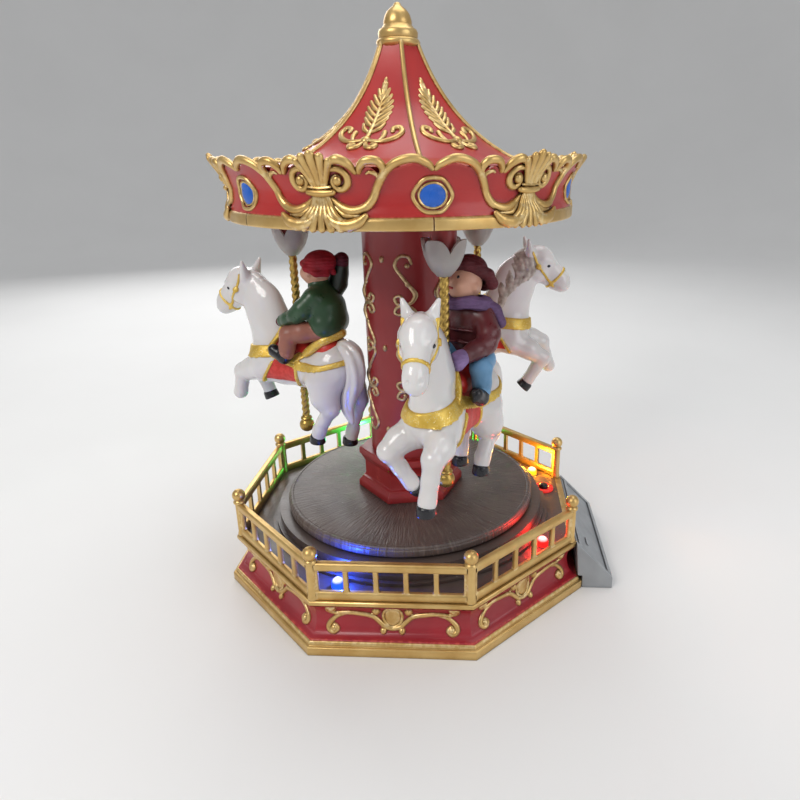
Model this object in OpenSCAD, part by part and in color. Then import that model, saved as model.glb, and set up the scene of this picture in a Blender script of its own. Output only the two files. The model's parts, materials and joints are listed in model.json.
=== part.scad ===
// Musical carousel: a wind-up movement in an eight-sided base turns a six-panel canopy,
// a turntable and three horses on sliding poles. Millimetres, +Z up, origin on the spin
// axis at the level that the base stands on. Front is -Y; the entrance ramp is on +X.

/* [Base] */
// Width of the base over two opposite flats
foot_flats = 135; // [132:1:140]
// Height of the moulded ledge that carries the railing
ledge_z = 19.2; // [18.8:0.1:19.6]
// Thickness of the deck and bottom plates
plate_t = 2; // [1.6:0.1:2.2]
// Height of a railing post, without its ball
post_h = 15; // [13:0.5:17]
// Diameter of the ball on a railing post
ball_d = 4.8; // [4:0.2:5.2]
// Balusters in each railing panel
balusters = 4; // [3:1:6]
// Width of a baluster
baluster_w = 1.7; // [1.2:0.1:2.6]
// How far the ramp reaches out from the foot
ramp_reach = 11.6; // [8:0.2:16]

/* [Turntable and column] */
// Diameter of the turntable
turntable_d = 98.6; // [94:0.2:99]
// Level of the turntable's top
turntable_z = 29.8; // [29.4:0.1:30.4]
// Diameter of the column
column_d = 30.6; // [26:0.2:34]
// Corner radius of the six-sided plinth at its foot
plinth_r = 21.2; // [20:0.2:24]
// Height of the plinth
plinth_h = 17; // [14:0.5:20]

/* [Canopy] */
// Level of the valance's lower rim
rim_z = 136.4; // [134:0.2:137]
// Radius of the valance at its lower rim
rim_r = 58.7; // [58:0.1:60]
// Radius of the valance at its upper edge
crown_r = 62.6; // [62:0.1:64]
// Level of the valance's upper edge
crown_z = 155.9; // [155:0.1:157]
// Level of the tip of the finial
top_z = 203.5; // [200:0.5:206]
// Jewels around the valance
jewels = 6; // [3:1:8]

/* [Horses] */
// Radius of the circle of poles
pole_circle_r = 43.6; // [43:0.1:44]
// Diameter of a pole
pole_d = 3.3; // [3:0.1:3.6]
// Bearing of the first pole, from the front toward +X
pole_phase = 22.7; // [20:0.1:26]
// How far a pole can sink from the crest of the lift cam
lift = 6; // [3:0.5:6]

/* [Movement] */
// Distance from the spin axis to the spring barrel's axis
barrel_offset = 30.4; // [30.3:0.1:30.6]
// Teeth on the drive gear and on the great wheel, module 1
wheel_teeth = 30; // [30:1:30]
// Crown teeth on the barrel's flange
crown_teeth = 48; // [48:1:48]
// Teeth on the cylinder's pinion
pinion_teeth = 12; // [12:1:12]
// Notes on the comb
notes = 18; // [12:1:20]

/* [Hidden] */
$fn = 96;
fit = 0.05;
eps = 0.01;
gold = "goldenrod";
red = "firebrick";
brown = "#5b4a44";

// Base levels and radii
foot_a = foot_flats / 2;
inner_a = foot_a - 7.9;
deck_a = foot_a - 5.5;
ledge_a = foot_a - 2.8;
deck_z = ledge_z + 0.1;
deck_low = deck_z - plate_t;
corner = 1 / cos(22.5);
post_r = 1.8;
post_circle = (ledge_a - 2.3) * corner;
rail_a = ledge_a - 2.1;
ball_z = ledge_z + post_h + 1.8;
podium_z = turntable_z - 4.4;
podium_r = turntable_d / 2 + 3.7;

// Turntable, spindle and column
spindle_r = 2;
hub_r = 7;
turntable_low = turntable_z - 3.9;
gear_z = 19;
gear_h = 3;
plinth_turn = 11.8;
ceiling_z = rim_z + 1.6;
ceiling_t = 1.6;

// Lift cam and poles
cam_low = ceiling_z + ceiling_t + 0.8;
cam_crest = cam_low + 2.2 + lift;
// The cam's ring ends 0.4 short of the follower pins, so that it never fouls them
follower_reach = 5.8;
cam_w = 2.8;
cam_r = pole_circle_r - follower_reach - 0.4 - cam_w;
follower_r = 1;
follower_z = cam_crest + follower_r + 0.15;
pole_top = follower_z + 2;
pole_low = 54;
pole_ball_z = 52;
pole_bearings = [pole_phase, pole_phase + 120, pole_phase - 120];
cap_low = 121.3;
cap_h = 13.2;

// Horses in pole order: heading from the front toward +X, shift to the left, extra height on the pole
headings = [-24, 97, -112];
side_shift = [2.5, 0, 0];
raised = [0, 5.5, 0];
saddle_z = 80;

// Knee and fetlock of each foreleg; the first horse looks to its left and stretches that leg
head_turns = [23, 0, 0];
folded_left = [[28.6, 4, -8], [31.6, 4, -17.6]];
folded_right = [[28, -6, -12.4], [21.4, -6, -22.6]];
left_fore = [[[26.5, 7.2, -7], [28, 5.7, -23.2]], folded_left, folded_left];
right_fore = [[[24, -9.8, -9], [17.2, -5.6, -23.4]], folded_right, folded_right];

// Movement layout
barrel_bearing = 215;
barrel_x = barrel_offset * cos(barrel_bearing);
barrel_y = barrel_offset * sin(barrel_bearing);
bed_z = 8.4;
bed_t = 1.6;
crown_pitch_r = 18.6;
pinion_pitch_r = crown_pitch_r * pinion_teeth / crown_teeth;
crown_root_z = 10.9;
crown_h = 2;
cyl_z = crown_root_z + 1.1 + pinion_pitch_r;
cyl_r = 5.6;
cyl_low = barrel_y + 21.4;
cyl_len = 20.4;
arbor_r = 2;
fan_teeth = 10;
cyl_gear_teeth = 30;
fan_module = 0.4;
fan_gap = fan_module * (fan_teeth + cyl_gear_teeth) / 2 + 0.15;
fan_x = barrel_x + fan_gap;
gear_low_y = cyl_low + cyl_len + 0.8;
key_cup_r = 16;
key_cup_z = 6.6;

// Battery box and switch
cell_r = 5.2;
cell_len = 44.5;
cell_x = [29, 41];
cell_z = 8;
button_x = 56;
button_y = 14.2;
// Lamps: blue, red, yellow, green, by bearing from the front toward +X
lamp_r = 2.2;
lamp_circle = 59.2;
lamp_bearings = [-18.8, 61.2, 118.4, 200];

// ---- Helpers ----

// Places children at a bearing measured from the front toward +X
module at_bearing(bearing, radius, z = 0)
    translate([radius * sin(bearing), -radius * cos(bearing), z]) children();

// Places children on the pole circle with their own +X pointing outward
module at_pole(i)
    rotate(pole_bearings[i] - 90) translate([pole_circle_r, 0, 0]) children();

module ring(outer, inner, low, height)
    translate([0, 0, low]) difference() {
        cylinder(r = outer, h = height);
        translate([0, 0, -1]) cylinder(r = inner, h = height + 2);
    }

// An eight-sided solid whose apothem follows a profile of [apothem, z] points
module octagon_solid(profile) {
    mirrored = [for (i = [len(profile) - 1 : -1 : 0]) [-profile[i][0], profile[i][1]]];
    intersection_for (a = [0, 45, 90, 135])
        rotate(a) rotate([90, 0, 0])
            linear_extrude(height = 200, center = true)
                polygon(concat(profile, mirrored));
}

module octagon_prism(apothem, low, height)
    translate([0, 0, low]) rotate(22.5)
        cylinder(r = apothem * corner, h = height, $fn = 8);

// A spur wheel with plain straight-sided teeth; a tooth points along +X
module toothed_wheel(teeth, pitch, height) {
    tip = pitch * (teeth / 2 + 0.9);
    root = pitch * (teeth / 2 - 1.15);
    linear_extrude(height = height)
        polygon([for (i = [0 : teeth - 1]) for (p = [[root, -0.27], [tip, -0.11],
                                                     [tip, 0.11], [root, 0.27]])
            p[0] * [cos((i + p[1]) * 360 / teeth), sin((i + p[1]) * 360 / teeth)]]);
}

// A rounded limb from one ball to the next
module limb(from, from_r, to, to_r)
    hull() {
        translate(from) sphere(r = from_r, $fn = 14);
        translate(to) sphere(r = to_r, $fn = 14);
    }

// ---- Base ----

// Foot, hollow side and ledge of each wall, as apothem and height
module base_shell() color(red) {
    hollow = [for (t = [0 : 15 : 180])
        [foot_a - 1.9 - t / 150 - 3.2 * sin(t), 5 + 6 * (1 - cos(t))]];
    outer = concat([[foot_a, 0], [foot_a, 3.2], [foot_a - 1, 3.2], [foot_a - 1, 4.2]],
        hollow, [[ledge_a, 17.6], [ledge_a, ledge_z]]);
    difference() {
        octagon_solid(outer);
        octagon_prism(inner_a, -1, 30);
        octagon_prism(deck_a + 0.1, deck_low, 10);
        for (s = screw_places()) translate([s[0], s[1], -1]) cylinder(r = 1.1, h = 8);
    }
    for (s = screw_places()) translate([s[0], s[1], plate_t])
        difference() {
            cylinder(r = 3, h = 12);
            translate([0, 0, -1]) cylinder(r = 1.1, h = 9);
        }
}

// Four corner screws of the bottom cover
function screw_places() = [for (a = [45 : 90 : 315]) 57 * [cos(a), sin(a)]];

module cover_holes() {
    for (s = screw_places()) translate([s[0], s[1], -1]) {
        cylinder(r = 1.3, h = 6);
        cylinder(r = 2.35, h = 1.8);
    }
}

module bottom_cover() color("dimgray") {
    difference() {
        union() {
            octagon_prism(inner_a - 0.1, 0, plate_t);
            cylinder(r = 6, h = 11);
            translate([barrel_x, barrel_y, 0]) cylinder(r = key_cup_r + 1.4, h = key_cup_z + 1.2);
            translate([35 - 13.6, -25.2, 0]) cube([27.2, 50.4, 12]);
            for (x = [14, 31]) translate([x, -40, 0]) cylinder(r = 2, h = 12.4);
        }
        translate([0, 0, 3]) cylinder(r = spindle_r, h = 10);
        translate([barrel_x, barrel_y, -1]) cylinder(r = key_cup_r, h = key_cup_z + 1);
        translate([barrel_x, barrel_y, -1]) cylinder(r = arbor_r + 0.4, h = 20);
        translate([35 - 12.2, -23.8, -1]) cube([24.4, 47.6, 20]);
        translate([35 - 13, -24.6, -1]) cube([26, 49.2, 2.4]);
        cover_holes();
    }
}

module cover_screws() color("silver")
    for (s = screw_places()) translate([s[0], s[1], 0.3]) {
        cylinder(r = 2.1, h = 0.5);
        cylinder(r = 1.05, h = 6);
    }

module battery_door() color("dimgray")
    difference() {
        translate([35 - 12.9, -24.5, 0]) cube([25.8, 49, 1.3]);
        translate([35 - 6, 17, -1]) cube([12, 3, 1.6]);
    }

module batteries() color("slategray")
    for (i = [0, 1]) translate([cell_x[i], 0, cell_z]) rotate([90, 0, 0]) rotate(180 * i) {
        cylinder(r = cell_r, h = cell_len - 1, center = true);
        translate([0, 0, (i == 0 ? 1 : -1) * (cell_len / 2 - 0.1)])
            cylinder(r = 1.9, h = 0.8, center = true);
    }

module battery_contacts() color("silver")
    for (y = [-23.6, 23.2]) translate([35 - 11.5, y, 4]) cube([23, 0.4, 8]);

module circuit_board() color("darkgreen") {
    difference() {
        translate([11, -46, 12.4]) cube([24, 12, 1.2]);
        translate([22, -47, 12]) cube([5, 4, 3]);
    }
    translate([14, -44.5, 13.6]) cube([6, 6, 1.5]);
    for (x = [24 : 3 : 33]) translate([x, -40, 13.6]) cube([1.6, 3, 0.8]);
}

module button_switch() color("black") {
    translate([button_x - 5.6, button_y - 9, 9.2]) cube([8, 18, 1.2]);
    translate([button_x - 3, button_y - 3, 10.4]) cube([5.4, 6, 2.6]);
    for (y = [-7, 7]) translate([button_x - 1.6, button_y + y, 10.4])
        cylinder(r = 1.4, h = deck_low - 10.4);
}

module deck_plate() color(brown)
    difference() {
        union() {
            octagon_prism(deck_a, deck_low, plate_t);
            translate([0, 0, deck_low]) rotate_extrude() polygon([
                [hub_r + 0.4, podium_z - plate_t - deck_low],
                [podium_r - 3.2, podium_z - plate_t - deck_low], [podium_r - 3.2, 0],
                [podium_r + 3, 0], [podium_r + 3, plate_t + 1.2],
                [podium_r + 1.4, plate_t + 1.2], [podium_r + 1.4, plate_t + 3],
                [podium_r, plate_t + 3], [podium_r, podium_z - deck_low],
                [hub_r + 0.4, podium_z - deck_low]]);
        }
        translate([0, 0, deck_low - 1]) cylinder(r = podium_r - 3.2, h = plate_t + 2);
        for (b = lamp_bearings) at_bearing(b, lamp_circle, 10) cylinder(r = lamp_r + fit, h = 20);
        translate([button_x, button_y, 10]) cylinder(r = 3.1, h = 20);
        translate([button_x, button_y, deck_z]) cylinder(r = 4.5, h = 10);
    }

module railing_posts() color(gold)
    for (k = [0 : 7]) rotate(22.5 + 45 * k) translate([post_circle, 0, 0]) {
        difference() {
            translate([0, 0, deck_z]) cylinder(r = post_r, h = post_h);
            translate([0, 0, deck_z - 1]) cylinder(r = 0.5, h = 3);
        }
        translate([0, 0, ball_z]) sphere(d = ball_d);
        translate([0, 0, deck_z + post_h - 1.4]) cylinder(r = post_r + 0.5, h = 0.9);
    }

// One panel between two posts; panel k faces the bearing that its loop gives
module railing_panel(bearing) color(gold) {
    span = 2 * (post_circle * sin(22.5) - post_r - 0.55);
    pitch = span / (balusters + 1);
    rotate(bearing - 90) translate([rail_a, 0, deck_z]) {
        translate([-1.1, -span / 2, 0]) cube([2.2, span, 3]);
        translate([-1.3, -span / 2, post_h - 4.2]) cube([2.6, span, 3.1]);
        for (i = [1 : balusters])
            translate([-0.7, -span / 2 + i * pitch - baluster_w / 2, 2.5])
                cube([1.4, baluster_w, post_h - 6]);
    }
}

module entrance_ramp() color("lightgray") {
    width = 2 * foot_a * tan(22.5);
    out = foot_a + ramp_reach;
    difference() {
        translate([0, width / 2, 0]) rotate([90, 0, 0]) linear_extrude(height = width)
            polygon([[foot_a + 0.1, 0], [out, 0], [out, 5], [ledge_a + 0.2, ledge_z],
                [ledge_a + 0.2, 16.6], [foot_a - 1.6, 15], [foot_a - 1.6, 5.2],
                [foot_a + 0.1, 5.2]]);
        translate([0, width / 2 - 2, 0]) rotate([90, 0, 0]) linear_extrude(height = width - 4)
            polygon([[foot_a - 2, -1], [out - 1.6, -1], [out - 1.6, 3.6],
                [foot_a + 0.9, 13.3], [foot_a - 2, 13.3]]);
    }
}

module lamp(i, tint) color(tint)
    at_bearing(lamp_bearings[i], lamp_circle) {
        translate([0, 0, 13]) cylinder(r = lamp_r, h = deck_z + 0.9 - 13);
        translate([0, 0, deck_z + 0.9]) sphere(r = lamp_r);
        translate([0, 0, 12.2]) cylinder(r = lamp_r + 0.5, h = 1);
    }

module button_ring() color("crimson")
    translate([button_x, button_y, 0]) rotate_extrude() polygon([
        [1.95 + fit, 16], [3.1, 16], [3.1, deck_z], [4.4, deck_z], [4.1, deck_z + 1.1],
        [2.5, deck_z + 1.1], [1.95 + fit, deck_z + 0.6]]);

module push_button() color("black")
    translate([button_x, button_y, 0]) {
        translate([0, 0, 14.5]) cylinder(r = 1.95, h = deck_z + 1.6 - 14.5);
        translate([0, 0, deck_z + 1.6]) intersection() {
            translate([0, 0, -1.6]) sphere(r = 2.52);
            cylinder(r = 1.95, h = 2);
        }
        translate([0, 0, 14.3]) cylinder(r = 2.8, h = 1.4);
    }

// ---- Movement ----

module movement_frame() color("silver")
    difference() {
        union() {
            translate([-47, -36, bed_z]) cube([40, 66, bed_t]);
            for (p = [[-43, 26], [-11, 26], [-9, -32], [-44, 5]])
                translate([p[0], p[1], plate_t]) cylinder(r = 2.4, h = bed_z - plate_t + 1);
            for (y = [cyl_low - 1.3, gear_low_y + 2.6])
                translate([barrel_x - 3, y, bed_z + 1]) cube([6, 1.1, cyl_z - bed_z + 2]);
            translate([fan_x - 2, gear_low_y + 2.6, bed_z + 1]) cube([4, 1.6, cyl_z - bed_z + 1]);
            translate([-45, cyl_low, bed_z + 1]) cube([7, cyl_len, cyl_z - bed_z - 1.8]);
        }
        translate([barrel_x, barrel_y, 0]) cylinder(r = arbor_r + fit, h = 30);
        translate([barrel_x, 60, cyl_z]) rotate([90, 0, 0]) cylinder(r = 1 + fit, h = 100);
        translate([fan_x, 60, cyl_z]) rotate([90, 0, 0]) cylinder(r = 0.6 + fit, h = 100);
        for (y = [4, 10, 16]) translate([-42, cyl_low + y, cyl_z - 5]) cylinder(r = 0.8, h = 9);
        translate([0, 0, 0]) cylinder(r = hub_r + 0.6, h = 30);
    }

module spring_barrel() color("goldenrod")
    translate([barrel_x, barrel_y, 0]) difference() {
        union() {
            translate([0, 0, crown_root_z - 0.8]) cylinder(r = crown_pitch_r + 1.3, h = 0.8);
            translate([0, 0, crown_root_z - 0.8]) cylinder(r = 13, h = gear_z - crown_root_z + 0.9);
            translate([0, 0, gear_z]) rotate(barrel_bearing + 180 / wheel_teeth)
                toothed_wheel(wheel_teeth, 1, gear_h);
            for (i = [0 : crown_teeth - 1]) rotate(i * 360 / crown_teeth)
                translate([crown_pitch_r - 1.3, 0, crown_root_z - eps]) rotate([90, 0, 90])
                    linear_extrude(height = 2.6)
                        polygon([[-0.62, 0], [0.62, 0], [0.28, crown_h], [-0.28, crown_h]]);
        }
        translate([0, 0, -1]) cylinder(r = arbor_r + fit, h = 40);
    }

module winding_arbor() color("silver")
    translate([barrel_x, barrel_y, 2.2]) cylinder(r = arbor_r, h = gear_z + gear_h + 0.8 - 2.2);

module winding_key() color("goldenrod")
    translate([barrel_x, barrel_y, 0]) difference() {
        union() {
            translate([0, 0, 0.8]) cylinder(r = 3.6, h = 5.4);
            for (s = [-1, 1]) translate([s * 8.2, 0, 3.5]) rotate([90, 0, 0])
                cylinder(r = 2.7, h = 2.2, center = true);
            translate([-8.2, -1.1, 1.4]) cube([16.4, 2.2, 4.2]);
        }
        translate([0, 0, 2.2]) cylinder(r = arbor_r, h = 10);
    }

// Pins stand on the cylinder in a regular spiral, one row for each note
module music_cylinder() color("goldenrod")
    translate([barrel_x, 0, cyl_z]) rotate([-90, 0, 0]) {
        translate([0, 0, cyl_low]) cylinder(r = cyl_r, h = cyl_len);
        translate([0, 0, cyl_low - 4.2]) cylinder(r = 1, h = cyl_len + 12.2);
        translate([0, 0, barrel_y + crown_pitch_r - 1.3]) rotate(180 / pinion_teeth)
            toothed_wheel(pinion_teeth, 2 * pinion_pitch_r / pinion_teeth, 2.6);
        translate([0, 0, gear_low_y]) toothed_wheel(cyl_gear_teeth, fan_module, 1.8);
        for (n = [0 : notes - 1]) for (k = [0, 1])
            rotate(n * 47 + k * 170)
                translate([cyl_r - 0.5, 0, cyl_low + (n + 0.5) * cyl_len / notes])
                    rotate([0, 90, 0]) cylinder(r = 0.2, h = 0.85, $fn = 16);
    }

module steel_comb() color("silver") {
    tip_x = barrel_x - cyl_r - 0.75;
    pitch = cyl_len / notes;
    difference() {
        translate([-45, cyl_low, cyl_z - 0.8]) cube([7, cyl_len, 1.2]);
        for (y = [4, 10, 16]) translate([-42, cyl_low + y, cyl_z - 2]) cylinder(r = 0.8, h = 4);
    }
    for (n = [0 : notes - 1])
        translate([-38.2, cyl_low + n * pitch + 0.15, cyl_z - 0.35])
            cube([tip_x + 38.2, pitch - 0.3, 0.7]);
}

module comb_screws() color("silver")
    for (y = [4, 10, 16]) translate([-42, cyl_low + y, 0]) {
        translate([0, 0, cyl_z + 0.4]) cylinder(r = 1.5, h = 0.9);
        translate([0, 0, cyl_z - 4]) cylinder(r = 0.75, h = 5);
    }

module governor_fan() color("ivory")
    translate([fan_x, 0, cyl_z]) rotate([-90, 0, 0]) {
        translate([0, 0, gear_low_y - 0.4]) cylinder(r = 0.6, h = 11.4);
        translate([0, 0, gear_low_y]) rotate(180 + 180 / fan_teeth)
            toothed_wheel(fan_teeth, fan_module, 1.8);
        translate([-4.4, -0.4, gear_low_y + 5.2]) cube([8.8, 0.8, 5]);
    }

module centre_spindle() color("silver")
    translate([0, 0, 3]) cylinder(r = spindle_r, h = cam_low + 3 - 3);

// Three crests and three hollows; a hollow faces each pole
module lift_cam() color("lightgray") {
    trough_z = cam_crest - lift - 0.05;
    difference() {
        ring(cam_r + cam_w, cam_r, cam_low, cam_crest - cam_low);
        for (b = pole_bearings) rotate(b - 90)
            translate([cam_r - 2, 0, trough_z + 10 - eps]) rotate([0, 90, 0])
                cylinder(r = 10, h = cam_w + 4);
    }
    difference() {
        union() {
            translate([0, 0, cam_low]) cylinder(r = 5, h = 3.4);
            for (b = pole_bearings) rotate(b - 30)
                translate([0, -1.5, cam_low]) cube([cam_r + 0.5, 3, 1.8]);
        }
        translate([0, 0, cam_low - 1]) cylinder(r = spindle_r, h = 10);
    }
}

// ---- Turning parts ----

module drive_gear() color("goldenrod")
    translate([0, 0, gear_z]) difference() {
        rotate(barrel_bearing) toothed_wheel(wheel_teeth, 1, gear_h);
        translate([0, 0, -1]) cylinder(r = hub_r + fit, h = 10);
    }

module turntable() color(brown)
    difference() {
        union() {
            ring(turntable_d / 2 - 0.6, 0, turntable_z - 0.6, 0.6);
            translate([0, 0, turntable_low]) cylinder(d = turntable_d, h = 3.3);
            translate([0, 0, gear_z - 1]) cylinder(r = hub_r, h = turntable_low - gear_z + 1.5);
        }
        cylinder(r = spindle_r + fit, h = 60);
    }

module column() color(red) {
    steps = [[plinth_r, 0, 2.4], [plinth_r - 1.6, 2.4, 2], [plinth_r - 3, 4.4, 8],
        [plinth_r - 1.8, 12.4, 1.6], [plinth_r - 0.7, 14, plinth_h - 14]];
    difference() {
        union() {
            translate([0, 0, turntable_z]) rotate(plinth_turn)
                for (s = steps) translate([0, 0, s[1]]) cylinder(r = s[0], h = s[2], $fn = 6);
            translate([0, 0, turntable_z]) cylinder(d = column_d, h = ceiling_z - turntable_z);
        }
        translate([0, 0, turntable_z - 1]) cylinder(d = column_d - 5, h = 200);
    }
}

module canopy_ceiling() color(red)
    difference() {
        translate([0, 0, ceiling_z]) cylinder(r = rim_r - 1.6, h = ceiling_t);
        cylinder(r = spindle_r + fit, h = 200);
        for (i = [0 : 2]) at_pole(i) cylinder(r = 4 + fit, h = 200);
    }

module canopy_valance() color(red) {
    outer = [[rim_r, rim_z], [rim_r, rim_z + 4.6], [rim_r - 0.8, rim_z + 6.6],
        [rim_r - 0.6, rim_z + 10.6], [rim_r + 1.2, crown_z - 4.4], [crown_r, crown_z]];
    inner = [for (i = [len(outer) - 1 : -1 : 0]) [outer[i][0] - 1.5, outer[i][1]]];
    rotate_extrude() polygon(concat(outer, inner));
}

// The tent sweeps up from a nearly flat brim in one hollow curve
module canopy_roof() color(red) {
    sweep = [for (t = [0 : 0.1 : 1]) [40 - 46.5 * t + 13.3 * t * t, 155 + 22 * t + 14 * t * t]];
    top = concat([[rim_r - 0.1, 152.4], [rim_r - 0.1, 153.8]], sweep, [[0, 191]]);
    under = [for (i = [len(sweep) - 1 : -1 : 0]) [max(sweep[i][0] - 1.5, 0.5), sweep[i][1] - 1.6]];
    rotate_extrude() polygon(concat(top, [[0, 189]], under));
}

module valance_jewels() color("royalblue")
    for (i = [0 : jewels - 1])
        at_bearing(pole_phase - 7.8 + i * 360 / jewels, 0, rim_z + 9.5)
            rotate(pole_phase - 7.8 + i * 360 / jewels) rotate([90, 0, 0])
                translate([0, 0, rim_r - 1.4]) cylinder(r = 4.6, h = 2.2);

module finial() color(gold)
    rotate_extrude() polygon([[0, 191], [6.8, 191], [7.2, 192], [6.6, 193], [6.6, 195],
        [5.2, 195.8], [4.6, 197], [4.4, 198.4], [3.9, 200.2], [2.7, 201.6],
        [1.6, 202.6], [1, top_z - 0.2], [0, top_z]]);

module guide_tube(i) color(red)
    at_pole(i) ring(4, pole_d / 2 + 0.08, cap_low + 5.2, ceiling_z + ceiling_t - cap_low - 5.2);

module tulip_cap(i) color("gainsboro")
    at_pole(i) translate([0, 0, cap_low]) rotate_extrude() polygon([
        [pole_d / 2 + 0.08, 0], [2.6, 0], [5, 2.2], [6.8, 6], [7.5, 10], [7.3, cap_h],
        [6, cap_h], [6, 10], [5, 6.4], [4, 5.2], [pole_d / 2 + 0.08, 5.2]]);

module pole(i) color(gold)
    at_pole(i) {
        translate([0, 0, pole_low]) cylinder(d = pole_d, h = pole_top - pole_low);
        translate([0, 0, pole_ball_z]) sphere(r = 3);
        translate([0, 0, pole_low + 0.8]) cylinder(r = 2.1, h = 1.2);
    }

module follower(i) color("silver")
    at_pole(i) translate([-pole_d / 2, 0, follower_z]) rotate([0, -90, 0])
        cylinder(r = follower_r, h = follower_reach - pole_d / 2);

// Horse frame: origin on the pole at saddle_z, +X toward the nose, +Y its left side
module at_horse(i)
    translate([pole_circle_r * sin(pole_bearings[i]), -pole_circle_r * cos(pole_bearings[i]),
        saddle_z + raised[i]]) rotate(headings[i] - 90) translate([0, side_shift[i], 0]) children();

module horse(i) color("white") at_horse(i) {
    limb([14, 0, -1], 8.6, [0, 0, -2.6], 8.4);
    limb([0, 0, -2.6], 8.4, [-17, 0, -0.6], 9.2);
    limb([15, 0, 3], 7.6, [20, 0, 27], 4.6);
    translate([19, 0, 0]) rotate(head_turns[i]) translate([-19, 0, 0]) {
        limb([20, 0, 28], 5, [35.4, 0, 19.2], 3.6);
        for (s = [-1, 1]) limb([21, 3 * s, 32], 1.9, [20.6, 4.2 * s, 37.2], 0.8);
    }
    limb([16, 5, -4], 4.4, left_fore[i][0], 3.3);
    limb(left_fore[i][0], 3.3, left_fore[i][1], 2.8);
    limb([15, -6, -5], 4.4, right_fore[i][0], 3.3);
    limb(right_fore[i][0], 3.3, right_fore[i][1], 2.7);
    limb([-14, 5.2, -4], 6.2, [-16.6, 6.4, -14.5], 4);
    limb([-16.6, 6.4, -14.5], 4, [-10.4, 6.4, -26], 2.3);
    limb([-10.4, 6.4, -26], 2.3, [-10, 6.4, -29.6], 2.6);
    limb([-18, -5.2, -4], 6, [-22.8, -6, -15.6], 3.6);
    limb([-22.8, -6, -15.6], 3.6, [-17.6, -5.6, -33.4], 2.5);
    limb([-19, 0, 6], 2.6, [-26.2, 2.2, 2.4], 3.4);
    limb([-26.2, 2.2, 2.4], 3.4, [-23.8, 2.6, -19.6], 1.6);
}

// A rider on the saddle; reach lifts the right hand, hat is the radius of the hat
module rider(i, tint, reach, hat) color(tint) at_horse(i) {
    limb([-12.4, 0, 12.4], 6.6, [-10.4, 0, 28.4], 4.8);
    limb([-10.5, 0, 29], 3.4, [-10.8, 0, 36], 3.4);
    limb([-10.6, 0, 38.6], 5.6, [-12, 0, 40.4], hat);
    for (s = [-1, 1]) {
        limb([-9, 5 * s, 11], 3.8, [3.2, 8.6 * s, 10], 3.2);
        limb([3.2, 8.6 * s, 10], 3.2, [8, 9.4 * s, 2.8], 2.7);
    }
    limb([-11, 5, 26.4], 3, [-4.4, 8, 18.6], 2.6);
    limb([-4.4, 8, 18.6], 2.6, [5.2, 4.6, 15.6], 2.2);
    limb([-12, -5, 26.4], 3, reach ? [-17, -7, 32] : [-5, -8, 18.6], 2.6);
    limb(reach ? [-17, -7, 32] : [-5, -8, 18.6], 2.6, reach ? [-20, -5, 42] : [4.4, -5, 15.6], 2.4);
}

base_shell();
bottom_cover();
cover_screws();
battery_door();
batteries();
battery_contacts();
circuit_board();
button_switch();
deck_plate();
railing_posts();
railing_panel(0);  // railing_panel_1
railing_panel(45);  // railing_panel_2
railing_panel(135);  // railing_panel_3
railing_panel(180);  // railing_panel_4
railing_panel(225);  // railing_panel_5
railing_panel(270);  // railing_panel_6
railing_panel(315);  // railing_panel_7
entrance_ramp();
lamp(0, "dodgerblue");  // lamp_blue
lamp(1, "red");  // lamp_red
lamp(2, "gold");  // lamp_yellow
lamp(3, "lime");  // lamp_green
button_ring();
push_button();
movement_frame();
spring_barrel();
winding_arbor();
winding_key();
music_cylinder();
steel_comb();
comb_screws();
governor_fan();
centre_spindle();
lift_cam();
drive_gear();
turntable();
column();
canopy_ceiling();
canopy_valance();
canopy_roof();
valance_jewels();
finial();
guide_tube(0);  // guide_tube_1
guide_tube(1);  // guide_tube_2
guide_tube(2);  // guide_tube_3
tulip_cap(0);  // tulip_cap_1
tulip_cap(1);  // tulip_cap_2
tulip_cap(2);  // tulip_cap_3
pole(0);  // pole_1
pole(1);  // pole_2
pole(2);  // pole_3
follower(0);  // follower_1
follower(1);  // follower_2
follower(2);  // follower_3
horse(0);  // horse_1
horse(1);  // horse_2
horse(2);  // horse_3
rider(0, "brown", false, 6.6);  // rider_1
rider(2, "darkgreen", true, 5.8);  // rider_2
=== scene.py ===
"""Looks of the musical carousel: meshes, materials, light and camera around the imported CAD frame."""

import json
import math

import bpy
import numpy as np
from mathutils import Matrix, Vector

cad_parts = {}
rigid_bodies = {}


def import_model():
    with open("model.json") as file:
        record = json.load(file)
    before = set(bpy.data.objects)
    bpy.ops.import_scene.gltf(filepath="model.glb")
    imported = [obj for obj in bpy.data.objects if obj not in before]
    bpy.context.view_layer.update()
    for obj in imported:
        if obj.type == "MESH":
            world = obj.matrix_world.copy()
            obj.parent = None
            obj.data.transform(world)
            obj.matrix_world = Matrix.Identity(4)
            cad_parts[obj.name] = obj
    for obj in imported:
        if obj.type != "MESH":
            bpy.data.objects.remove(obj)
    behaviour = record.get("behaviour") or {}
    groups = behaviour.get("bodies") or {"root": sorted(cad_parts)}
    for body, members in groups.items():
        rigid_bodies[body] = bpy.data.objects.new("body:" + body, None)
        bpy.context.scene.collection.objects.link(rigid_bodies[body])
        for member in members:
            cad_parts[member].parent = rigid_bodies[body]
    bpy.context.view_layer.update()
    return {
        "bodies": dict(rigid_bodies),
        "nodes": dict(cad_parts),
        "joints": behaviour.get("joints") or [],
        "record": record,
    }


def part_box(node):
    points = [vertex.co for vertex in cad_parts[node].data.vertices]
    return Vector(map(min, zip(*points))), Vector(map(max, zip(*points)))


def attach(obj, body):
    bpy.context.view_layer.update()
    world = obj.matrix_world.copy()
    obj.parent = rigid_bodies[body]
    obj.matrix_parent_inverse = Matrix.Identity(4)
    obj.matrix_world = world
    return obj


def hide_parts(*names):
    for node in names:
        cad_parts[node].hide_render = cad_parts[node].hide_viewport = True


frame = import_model()

MM = 0.001
TAU = 2 * math.pi


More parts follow.
